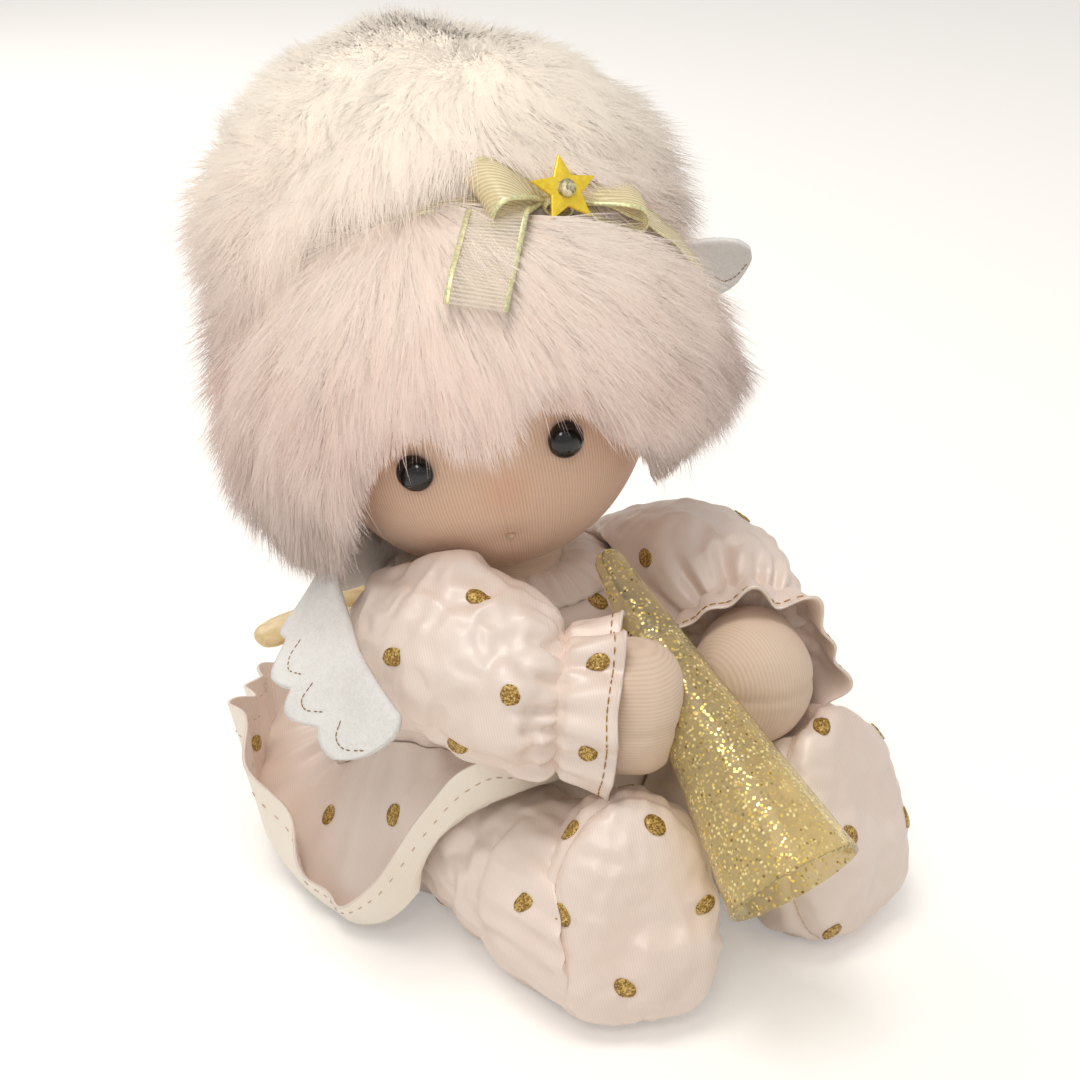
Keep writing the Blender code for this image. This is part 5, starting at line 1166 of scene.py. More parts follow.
@dataclass
class Leg:
    """Stuffed satin leg with a foot whose sole stands up, sewn round its edge."""

    side: Side
    half_width: float = 19.0 * MM
    half_height: float = 25.0 * MM
    depth: float = 26.0 * MM
    tip_back: float = 18.0 * DEG
    splay: float = 28.0 * DEG
    spread: float = 23.5 * MM
    reach: float = 68.0 * MM
    seam_share: float = 0.17
    seam_stitches: int = 84
    prints: list[Printed] = field(default_factory=list)

    @property
    def frame(self) -> Matrix:
        """Frame of the foot: Z points out of the sole and Y up it."""
        heading = Vector((self.side * sin(self.splay), -cos(self.splay), 0))
        normal = heading * cos(self.tip_back) + Z_AXIS * sin(self.tip_back)
        centre = Vector((self.side * self.spread, -self.reach, self.half_height * cos(self.tip_back)))
        x = normal.cross(Z_AXIS).normalized() * -1
        return axes(centre, x, normal.cross(x), normal)

    def foot_pin(self, spot: Vector) -> float:
        """Hold of the foot cloth: sewn round the sole and at the ankle."""
        local = self.frame.inverted() @ spot
        seam = max(0, 1 - abs(local.z - self.seam_share * self.depth) / (1.4 * MM))
        rim = hypot(local.x / self.half_width, local.y / self.half_height)
        ankle = 1 if local.z < -0.44 * self.depth else 0
        return max(seam if rim > 0.6 else 0, ankle)

    def leg_pin(self, spot: Vector) -> float:
        """Hold of the leg cloth: sewn at the hip and the ankle."""
        hip = max(0, min(1, (spot.y + 9 * MM) / (6 * MM)))
        ankle = max(0, min(1, (-spot.y - LEGS.reach + 6 * MM) / (5 * MM)))
        return max(hip, ankle)

    def jobs(self) -> list[SoftJob]:
        """Cloth jobs of the leg and the foot."""
        word = self.side.word
        return [SoftJob("leg_" + word, self.leg_pin, spare=0.18, pressure=2.0, cap=2.6 * MM, inset=0.9 * MM,
                        shape=self.leg_shape),
                SoftJob("foot_" + word, self.foot_pin, spare=0.14, pressure=3.0, cap=2.4 * MM, inset=0.9 * MM,
                        shape=self.foot_shape)]

    def leg_shape(self, bm: BMesh) -> None:
        """Widen the leg towards the ankle and gather it there."""
        stations = LEGS.stations(self.side)
        for vert in bm.verts:
            centre, _ = min(stations, key=lambda station: abs(station[0].y - vert.co.y))
            share = -vert.co.y / LEGS.reach
            away = Vector((vert.co.x - centre.x, 0, vert.co.z - centre.z))
            angle = atan2(away.z, away.x)
            fade = ease([(0.55, 0), (0.95, 1)], share)
            tuck = sin(15 * angle + 2.2 * sin(2 * angle)) + 0.6 * sin(23 * angle + 1)
            vert.co += away * (0.26 * fade) + away.normalized() * (0.9 * MM * fade * tuck)
            vert.co.y -= 13 * MM * ease([(0.72, 0), (0.95, 1)], share)
            vert.co.z = max(vert.co.z, GROUND)

    def foot_shape(self, bm: BMesh) -> None:
        """Square the foot's lower corners, fill its back and gather it towards the ankle."""
        home = self.frame.inverted()
        for vert in bm.verts:
            local = home @ vert.co
            a, b = local.x / self.half_width, local.y / self.half_height
            if hypot(a, b) < 0.05:
                continue
            angle = atan2(b, a)
            power = ease([(-0.6, 3.4), (0.3, 2.2)], b)
            corner = (abs(cos(angle)) ** power + abs(sin(angle)) ** power) ** (-1 / power)
            depth = local.z / self.depth
            form = ease([(-0.5, 0.5), (-0.44, 0.66), (-0.26, 0.9), (0, 1)], depth)
            full = ease([(-0.5, 0.84), (-0.3, 0.95), (0, 1)], depth)
            fade = ease([(-0.45, 1), (0.05, 0)], depth)
            tuck = sin(17 * angle + 2 * sin(3 * angle)) + 0.5 * sin(26 * angle + 2)
            grow = corner * min(1.7, full / form) * (1 + 0.045 * fade * tuck)
            slim = ease([(-0.3, 1), (0.3, 0.94), (1, 0.78)], b)
            vert.co = self.frame @ Vector((local.x * grow * slim, local.y * grow, local.z - 1.5 * MM * fade))
            vert.co.z = max(vert.co.z, GROUND)

    def build(self, shop: SoftShop) -> None:
        """Make and dress the leg and the foot."""
        word = self.side.word
        leg = shop.made["leg_" + word]
        self.prints.append(Printed(tree_of(leg)))
        piece = put(leg, "leg_satin_" + word, SATIN, Body.DOLL, ["leg_" + word], levels=1)
        foot = shop.made["foot_" + word]
        home = self.frame.inverted()
        for vert in foot.verts:
            local = home @ vert.co
            rim = hypot(local.x / self.half_width, local.y / self.half_height)
            if rim < 0.55:
                continue
            angle = atan2(local.y / self.half_height, local.x / self.half_width)
            away = local.z - self.seam_share * self.depth
            groove = exp(-(away / (1.1 * MM)) ** 2)
            pucker = sin(21 * angle + 2.5 * sin(4 * angle))
            ruck = pucker * ease([(0, 0.2), (1.5 * MM, 1), (6 * MM, 0)], abs(away))
            vert.co += vert.normal * (-0.8 * MM * groove + 0.2 * MM * ruck)
            vert.co.z = max(vert.co.z, GROUND)
        foot.normal_update()
        skin = tree_of(foot)
        self.prints.append(Printed(skin))
        piece = put(foot, "foot_satin_" + word, SATIN, Body.DOLL, ["foot_" + word], levels=1)
        put(stitches(self.seam_row(skin), 2.3 * MM, 0.34 * MM), "foot_seam_" + word, PALE_THREAD, Body.DOLL)

    def seam_row(self, skin: BVHTree) -> list[tuple[Vector, Vector, Vector]]:
        """Places of the seam's stitches round the sole."""
        turn = self.frame.to_3x3()
        middle = self.frame @ Vector((0, 0, self.seam_share * self.depth))
        row = []
        for i in range(self.seam_stitches):
            angle = tau * i / self.seam_stitches
            way = turn @ Vector((cos(angle), sin(angle), 0))
            spot, normal, _, _ = skin.ray_cast(middle + way * 60 * MM, -way)
            if spot is not None and spot.z > 1 * MM:
                row.append((spot, normal, turn @ Vector((-sin(angle), cos(angle), 0))))
        return row


LEG_PIECES = (
    Leg(Side.RIGHT),
    Leg(Side.LEFT, half_width=21.5 * MM, half_height=26.5 * MM, splay=8 * DEG, spread=29 * MM,
        reach=71.5 * MM),
)


@dataclass
class Horn:
    """Hollow glitter cone that the doll holds, open at the bell."""

    length: float = 80.0 * MM
    bell_radius: float = 14.4 * MM
    tip_radius: float = 2.9 * MM
    wall: float = 1.3 * MM
    bore_share: float = 0.7
    bell: Vector = Vector((-7, -97.6, 36.6)) * MM
    axis: Vector = Vector((0.08836, 0.81336, 0.57501))

    def radius(self, share: float) -> float:
        """Outer radius at a share of the length from the bell."""
        return self.tip_radius + (self.bell_radius - self.tip_radius) * (1 - share) ** 1.08

    def build(self) -> None:
        """Make and dress the horn."""
        shares = [i / 24 * 0.955 + 0.006 for i in range(25)]
        outer = [(share * self.length, self.radius(share)) for share in shares]
        tip = outer[-1]
        rise = self.length - tip[0]
        outer += dome(tip[0], rise, tip[1], (25, 50, 70, 83)) + [(self.length, 0)]
        lip = [(1 * MM, self.bell_radius - self.wall), (0.15 * MM, self.bell_radius - 0.8 * self.wall),
               (0, self.bell_radius - 0.45 * self.wall), (0.1 * MM, self.bell_radius - 0.1 * self.wall)]
        shares = [self.bore_share * (1 - i / 14) for i in range(14)]
        inner = [(share * self.length, self.radius(share) - self.wall) for share in shares]
        bore_end = (self.bore_share * self.length + 2 * MM, 0)
        bm = spun([bore_end] + inner + lip + outer, facing(self.bell, self.axis), 64)
        put(bm, "horn_vinyl", HORN, Body.DOLL, ["horn"])


@dataclass
class Wing:
    """Felt wing with a scalloped trailing edge and rows of feather stitches."""

    side: Side
    leading: tuple = ()
    trailing: tuple = ()
    root_rise: float = 11.0 * MM
    scallops: int = 5
    scallop_depth: float = 0.2
    felt: float = 1.6 * MM
    flat: tuple[float, float] = (0.098, 0.026)
    area: float = 0.0021
    # Feather stitches near the ends of the scallops, as places along and across the wing
    arcs: tuple = (((0.44, 0.66), (0.47, 0.76), (0.52, 0.78), (0.56, 0.72)),
                   ((0.63, 0.66), (0.67, 0.77), (0.72, 0.79), (0.76, 0.72)),
                   ((0.83, 0.66), (0.87, 0.77), (0.92, 0.79), (0.96, 0.70)))

    @property
    def root(self) -> Vector:
        """Middle of the seam at the doll's back."""
        return Vector((self.side * 6, 29.4436, 69)) * MM

    def point(self, u: float, v: float) -> Vector:
        """Point on the wing: out along the wing, then from the leading to the trailing edge."""
        tops = [self.root + Z_AXIS * self.root_rise] + [self.root + Vector(p) * MM for p in self.leading]
        ends = [self.root - Z_AXIS * self.root_rise] + [self.root + Vector(p) * MM for p in self.trailing]
        u *= 1 - 0.08 * u ** 4 * abs(2 * v - 1) ** 3
        top = spline(tops, u)
        lobe = abs(sin(pi * self.scallops * u))
        chord = 1 - self.scallop_depth * (1 - lobe) * min(1, 4 * u)
        return top + (spline(ends, u) - top) * (v * chord)

    def build(self) -> None:
        """Make and dress the wing."""
        word = self.side.word
        body = Body("wing_" + word)
        bm = cloth_grid(110, 16, self.point)
        bmesh.ops.remove_doubles(bm, verts=bm.verts, dist=1e-6)
        skin = tree_of(bm)
        piece = put(bm, "wing_felt_" + word, FELT, body, ["wing_" + word], self.felt)
        row = []
        for arc in self.arcs:
            spots = [self.point(u, v) for u, v in arc]
            for i in range(9):
                spot = spline(spots, i / 8)
                run = spline(spots, min(1, i / 8 + 0.05)) - spline(spots, i / 8 - 0.05)
                near, out, _, _ = skin.find_nearest(spot)
                for face in (1, -1):
                    row.append((near + out * face * (self.felt / 2 + 0.02 * MM), out, run))
        feather = put(stitches(row, 1.2 * MM, 0.3 * MM), "wing_stitches_" + word, BROWN_THREAD, body)


WINGS = (
    Wing(Side.RIGHT, ((-35, -24, 14), (-47, -46, 6), (-51, -59, 2), (-52, -71, -3)),
         ((-38, -12, -6), (-57, -31, -7), (-61, -45, -11), (-60, -62, -14))),
    Wing(Side.LEFT, ((26, 15, 27), (51, 7, 44), (72, -7, 53), (82, -16, 53)),
         ((30, 15, 1), (58, 11, 15), (77, -1, 31), (86, -13, 45)), flat=(0.108, 0.030), area=0.0025),
)


@dataclass
class Head:
    """Stuffed jersey ball with black dome eyes and a sewn mouth."""

    centre: Vector = Vector((-6.920742, 0, 109.44593)) * MM
    sway: float = -0.159776552
    nod: float = -7.0 * DEG
    look: float = -34.0 * DEG
    radius: float = 36.5 * MM
    eye_radius: float = 3.9 * MM
    eye_dome: float = 2.8 * MM
    eye_spacing: float = 30.5 * MM
    eye_latitude: float = -0.4 * DEG
    mouth_pixel: tuple[float, float] = (511, 538)
    blush_pixel: tuple[float, float] = (503, 492)

    @property
    def frame(self) -> Matrix:
        """Frame of the head: it faces along its own minus Y."""
        return (Matrix.Translation(self.centre) @ Matrix.Rotation(self.sway, 4, "Y")
                @ Matrix.Rotation(self.nod, 4, "X") @ Matrix.Rotation(self.look, 4, "Z"))

    def eye_spot(self, side: Side) -> Vector:
        """Place of an eye in the head's frame."""
        half = self.eye_spacing / 2
        reach = self.radius * sqrt(1 - (half / self.radius) ** 2)
        return Vector((side * half, -reach * cos(self.eye_latitude), reach * sin(self.eye_latitude)))

    def build(self) -> None:
        """Make and dress the head."""
        home = self.frame.inverted()
        bm = bmesh.new()
        layer = bm.loops.layers.uv.new("UVMap")
        bmesh.ops.create_uvsphere(bm, u_segments=96, v_segments=64, radius=self.radius)
        plain = tree_of_moved(bm, self.frame)
        mouth = home @ VIEW.hit(self.mouth_pixel, [plain])[0]
        blush = VIEW.hit(self.blush_pixel, [plain])[0]
        # Ribs run down the face, so the map counts real distance round the head and up it
        for face in bm.faces:
            middle = face.calc_center_median()
            turn = atan2(middle.x, middle.y)
            for loop in face.loops:
                co = loop.vert.co
                lon = atan2(co.x, co.y) if hypot(co.x, co.y) > 1e-6 else turn
                lon += tau * round((turn - lon) / tau)
                loop[layer].uv = (lon * self.radius, co.z)
        for vert in bm.verts:
            dent = 1.3 * MM * exp(-((vert.co - mouth).length / (3.2 * MM)) ** 2)
            for side in Side:
                dent += 0.9 * MM * exp(-((vert.co - self.eye_spot(side)).length / (6.5 * MM)) ** 2)
            swell = 0.35 * MM * waver(vert.co, 16, 2)
            vert.co -= vert.co.normalized() * (dent - swell)
        bmesh.ops.transform(bm, matrix=self.frame, verts=bm.verts)
        bm.normal_update()
        skin = Knit(name="face_jersey", blush_at=tuple(blush), blush_reach=9 * MM)
        piece = put(bm, "head_jersey", skin, Body.HEAD, ["head"], levels=1)
        self.eyes()
        spot = self.frame @ (mouth * (1 - 0.9 * MM / self.radius))
        out = (self.frame.to_3x3() @ mouth).normalized()
        across = self.frame.to_3x3() @ X_AXIS
        put(stitches([(spot + out * 0.2 * MM, out, across), (spot + out * 0.5 * MM, out, across + out * 0.1)],
                     2.2 * MM, 0.8 * MM), "mouth_knot", PALE_THREAD, Body.HEAD)

    def eyes(self) -> None:
        """Dome eyes with a rolled rim."""
        for side in Side:
            spot = self.eye_spot(side)
            place = facing(self.frame @ spot, self.frame.to_3x3() @ spot)
            profile = [(-2 * MM, 0), (-2 * MM, self.eye_radius * 0.8), (-0.2 * MM, self.eye_radius * 0.97),
                       (0.1 * MM, self.eye_radius)]
            profile += dome(0.2 * MM, self.eye_dome, self.eye_radius, (8, 18, 28, 38, 48, 58, 68, 78, 85))
            profile.append((self.eye_dome + 0.2 * MM, 0))
            put(spun(profile, place, 40), "eye_dome_" + side.word, EYE_BLACK, Body.HEAD,
                ["eye_" + side.word])


def tree_of_moved(bm: BMesh, matrix: Matrix) -> BVHTree:
    """Search tree of a bmesh as it will stand after a move."""
    moved = bm.copy()
    bmesh.ops.transform(moved, matrix=matrix, verts=moved.verts)
    tree = tree_of(moved)
    moved.free()
    return tree


HEAD = Head()


@dataclass
class Bow:
    """Sheer ribbon round the hair with a bow, a hanging end and a gold star."""

    band_width: float = 8.0 * MM
    band_tip: float = 17.5 * DEG
    band_end: float = 12.0 * DEG
    half_x: float = 44.5 * MM
    half_z: float = 43.5 * MM
    angle: float = 60.0 * DEG
    ribbon_width: float = 13.0 * MM
    ribbon: float = 0.3 * MM
    loop_length: float = 15.0 * MM
    loop_height: float = 8.0 * MM
    loop_tilt: float = 24.0 * DEG
    tail_length: float = 28.0 * MM
    tail_reach: float = 50.1 * MM
    knot_length: float = 7.0 * MM
    knot_height: float = 4.5 * MM
    star_radius: float = 7.4 * MM
    star_inner: float = 0.47
    star_thickness: float = 1.2 * MM
    star_lean: float = 38.0 * DEG
    stud_radius: float = 1.9 * MM

    @property
    def plane(self) -> Matrix:
        """Frame of the ribbon's plane: Z is its normal, towards the face."""
        return (HEAD.frame @ Matrix.Translation((0, 4 * MM, 3 * MM)) @ Matrix.Rotation(self.band_tip, 4, "X")
                @ Matrix.Rotation(90 * DEG, 4, "X"))

    @property
    def frame(self) -> Matrix:
        """Frame of the bow: Z points out of the hair and X runs along the band."""
        turn = self.plane.to_3x3()
        spot = Vector((self.half_x * cos(self.angle), self.half_z * sin(self.angle), 0))
        out = Vector((spot.x / self.half_x ** 2, spot.y / self.half_z ** 2, 0)).normalized()
        run = Vector((spot.y / self.half_z ** 2, -spot.x / self.half_x ** 2, 0)).normalized()
        normal = (turn @ out).normalized()
        along = (turn @ run).normalized()
        base = self.plane @ spot + normal * 1.4 * MM
        return axes(base, along, normal.cross(along), normal)

    def band_point(self, u: float, v: float) -> Vector:
        """Point on the band round the hair."""
        a = -self.band_end + (pi + 2 * self.band_end) * u
        out = Vector((cos(a) / self.half_x, sin(a) / self.half_z, 0)).normalized()
        crumple = 0.4 * sin(40 * a) * (v - 0.5)
        # The band lies on the pile, highest beside the bow, and its ends sink into the seam
        rise = 1.9 + 4.8 * cos(a) ** 2 + ease([(0.12, 2.6), (0.3, 2.6), (0.4, 0)], u)
        rise = rise * ease([(0, 0), (0.1, 1), (0.88, 1), (1, 0)], u) + crumple
        ring = Vector((self.half_x * cos(a), self.half_z * sin(a), (v - 0.5) * self.band_width))
        return self.plane @ (ring + out * rise * MM)

    def build(self) -> None:
        """Make and dress the ribbon, the bow and the star."""
        bm = cloth_grid(120, 8, self.band_point)
        band = put(bm, "band_organza", BOW_RIBBON, Body.HEAD, ["ribbon_band"], self.ribbon)
        self.loops()
        self.knot()
        self.tail()
        self.star()

    def loops(self) -> None:
        """Two loops of the bow, pinched at the knot."""
        half_knot = self.knot_length / 2
        for side in Side:
            turned = self.frame @ Matrix.Rotation(self.loop_tilt if side is Side.RIGHT else 0, 4, "Z")

            def place(u: float, v: float, side: Side = side, turned: Matrix = turned) -> Vector:
                a = tau * (0.03 + 0.94 * u)
                reach = half_knot + 0.3 * MM + self.loop_length * (1 - cos(a)) / 2
                lift = self.knot_height * 0.55 + self.loop_height / 2 * sin(a) * (1 - cos(a)) / 2 * 1.4
                open_share = min(1, (reach - half_knot) / (0.7 * self.loop_length))
                width = self.ribbon_width * (0.42 + 0.58 * open_share)
                pinch = 1.1 * MM * (1 - open_share) * sin(9 * pi * v)
                sag = 1 * MM * open_share * sin(pi * v + 0.6 * side)
                return turned @ Vector((side * reach, (v - 0.5) * width, lift + pinch + sag))

            bm = cloth_grid(48, 14, place)
            name = "bow_loop_" + side.word
            piece = put(bm, name + "_organza", BOW_RIBBON, Body.HEAD, [name], self.ribbon)

    def knot(self) -> None:
        """Ribbon wrapped once round the middle of the bow."""
        def place(u: float, v: float) -> Vector:
            a = tau * u
            crease = 0.35 * MM * sin(5 * pi * v)
            swell = 1 - 0.25 * abs(2 * v - 1) ** 2
            lift = self.knot_height / 2 * (1 + swell * sin(a))
            across = (self.knot_length / 2 * swell + crease) * cos(a)
            return self.frame @ Vector((across, (v - 0.5) * self.ribbon_width * 0.96, lift + crease * sin(a)))

        bm = cloth_grid(36, 16, place, wrap=True)
        piece = put(bm, "bow_knot_organza", BOW_RIBBON, Body.HEAD, ["bow_knot"], self.ribbon)

    def tail_path(self, share: float) -> tuple[Vector, Vector]:
        """Point and outward direction on the hanging end."""
        start = HEAD.frame.inverted() @ (
            self.frame @ Vector((-self.knot_length * 1.75, -self.star_radius * 1.1, 0)))
        end_dir = Vector((0.1, -0.72, 0.68)).normalized()
        start_dir = start.normalized()
        t = share * (self.tail_length / self.tail_reach) / start_dir.angle(end_dir)
        spot = start_dir.slerp(end_dir, t)
        ripple = 0.8 * MM * sin(3 * pi * share)
        far = start.length + (self.tail_reach - start.length) * min(1, 1.6 * share) + ripple + 0.35 * MM
        return HEAD.frame @ (spot * far), HEAD.frame.to_3x3() @ spot

    def tail(self) -> None:
        """Ribbon end over the fringe, cut slantwise."""
        wide = HEAD.frame.to_3x3() @ Vector((0.97, 0.1, -0.2)).normalized()

        def place(u: float, v: float) -> Vector:
            slant = 1 - 0.1 * (1 - v)
            spot, out = self.tail_path(u * slant)
            curl = 0.9 * MM * sin(2.2 * pi * u) * (2 * v - 1)
            return spot + wide * ((v - 0.5) * self.ribbon_width) + out * (0.5 * MM + curl)

        bm = cloth_grid(44, 14, place)
        piece = put(bm, "bow_tail_organza", RIBBON, Body.HEAD, ["bow_tail"], self.ribbon)

    def star(self) -> None:
        """Pressed gold star with ridged points and a glitter stud."""
        face = HEAD.frame.to_3x3() @ Vector((0, -1, 0))
        across = self.frame.to_3x3() @ Y_AXIS
        lean = copysign(self.star_lean, face.dot(across))
        place = self.frame @ Matrix.Rotation(-lean, 4, "X")
        base = (self.ribbon_width / 2 * sin(self.star_lean) + 0.9 * self.knot_height * cos(self.star_lean)
                + 0.3 * MM)
        bm = bmesh.new()
        bmesh.ops.create_circle(bm, cap_ends=True, segments=10, radius=self.star_radius,
                                matrix=Matrix.Rotation(90 * DEG, 4, "Z"))
        bm.verts.ensure_lookup_table()
        for index, vert in enumerate(bm.verts):
            if index % 2:
                vert.co *= self.star_inner
        bmesh.ops.translate(bm, verts=bm.verts, vec=(0, 0, base))
        lifted = bmesh.ops.extrude_face_region(bm, geom=bm.faces[:])
        top = [item for item in lifted["geom"] if isinstance(item, BMVert)]
        bmesh.ops.translate(bm, verts=top, vec=(0, 0, self.star_thickness * 0.7))
        roof = [item for item in lifted["geom"] if isinstance(item, BMFace)]
        peak = bmesh.ops.poke(bm, faces=roof)
        bmesh.ops.translate(bm, verts=peak["verts"], vec=(0, 0, self.star_thickness * 0.45))
        bmesh.ops.recalc_face_normals(bm, faces=bm.faces)
        rim = [edge for edge in bm.edges if edge.calc_face_angle(0) > 0.9]
        bmesh.ops.bevel(bm, geom=rim, offset=0.22 * MM, segments=2, profile=0.5, affect="EDGES", material=-1)
        bmesh.ops.transform(bm, matrix=place, verts=bm.verts)
        piece = put(bm, "star_gold", STAR_GOLD, Body.HEAD, ["star_charm"])
        piece.data.shade_flat()
        low = base + self.star_thickness + 0.1 * MM
        stud = [(low - 0.4 * MM, 0.0), (low - 0.4 * MM, self.stud_radius * 1.05),
                (low + 0.2 * MM, self.stud_radius)]
        stud += dome(low + 0.2 * MM, self.stud_radius * 0.8, self.stud_radius, (20, 40, 60, 75))
        stud.append((low + 0.2 * MM + self.stud_radius * 0.82, 0))
        put(spun(stud, place, 28), "star_stud_glitter", STUD, Body.HEAD, ["star_stud"])


BOW = Bow()


@dataclass
class Pile:
    """Long pile of a plush: tapered fibres that lean with the lie of the fur."""

    radius: float = 0.09 * MM
    # How far fibres differ in tone
    stray: float = 0.22
    seed: int = 7

    def fibre(self) -> BMesh:
        """One upright tapered fibre of unit size."""
        bm = bmesh.new()
        bmesh.ops.create_cone(bm, cap_ends=True, segments=3, radius1=1, radius2=0, depth=1)
        bmesh.ops.bisect_plane(bm, geom=bm.verts[:] + bm.edges[:] + bm.faces[:], plane_co=(0, 0, 0.04),
                               plane_no=(0, 0, 1))
        bmesh.ops.translate(bm, verts=bm.verts, vec=(0, 0, 0.5))
        return bm

    def grow(self, roots: Array, starts: Array, ends: Array, outs: Array,
             lengths: Array, shades: Array, name: str) -> Mesh:
        """Copy the fibre onto every root and bend it.

        Args:
            roots: root points.
            starts: directions at the root.
            ends: directions at the tip.
            outs: directions out of the skin, which soften the shading.
            lengths: fibre lengths.
            shades: how far each fibre's tone is moved, by random tone and by painted shade at the ribbon's
                seam.
            name: the mesh's name.

        Returns:
            The new mesh, with a tone along each fibre.
        """
        one = self.fibre()
        one.verts.index_update()
        form = np.array([vert.co[:] for vert in one.verts])
        loops = [[vert.index for vert in face.verts] for face in one.faces]
        one.free()
        count, size = len(roots), len(form)
        rng = np.random.default_rng(self.seed + count)
        along = form[:, 2]
        full = np.where(along < 0.999, 1 + 0.9 * along, 1)
        hint = rng.normal(size=(count, 3))
        side = np.cross(starts, hint)
        side /= np.linalg.norm(side, axis=1, keepdims=True)
        other = np.cross(starts, side)
        thick = self.radius * rng.uniform(0.7, 1.25, count)
        t = along[None, :, None]
        bend = starts[:, None, :] * (t - t * t / 2) + ends[:, None, :] * (t * t / 2)
        spots = roots[:, None, :] + lengths[:, None, None] * bend
        spots += thick[:, None, None] * ((form[:, 0] * full)[None, :, None] * side[:, None, :]
                                         + (form[:, 1] * full)[None, :, None] * other[:, None, :])
        mesh = bpy.data.meshes.new(name)
        chain = np.array([index for loop in loops for index in loop])
        sizes = np.array([len(loop) for loop in loops])
        first = np.concatenate(([0], np.cumsum(sizes)[:-1]))
        mesh.vertices.add(count * size)
        mesh.vertices.foreach_set("co", spots.astype(np.float32).ravel())
        mesh.loops.add(count * len(chain))
        mesh.loops.foreach_set("vertex_index", (np.arange(count)[:, None] * size + chain[None, :]).ravel())
        mesh.polygons.add(count * len(loops))
        starts_at = np.arange(count)[:, None] * len(chain) + first[None, :]
        mesh.polygons.foreach_set("loop_start", starts_at.ravel())
        mesh.update(calc_edges=True)
        stray = rng.uniform(-self.stray, self.stray, (count, 1))
        # Tone rises along each fibre; each fibre's shift holds painted shade near the seam as well as random
        # tone
        tone = np.clip(0.2 + 0.75 * along[None, :] + shades[:, None] + stray, 0, 1).astype(np.float32)
        mesh.attributes.new("tone", "FLOAT", "POINT").data.foreach_set("value", tone.ravel())
        round_it = form[:, 0][None, :, None] * side[:, None, :] + form[:, 1][None, :, None] * other[:, None, :]
        soft = outs[:, None, :] + np.array((0, 0, 0.4)) + 0.3 * round_it
        soft /= np.linalg.norm(soft, axis=2, keepdims=True)
        mesh.shade_smooth()
        mesh.normals_split_custom_set_from_vertices(soft.reshape(-1, 3))
        return mesh


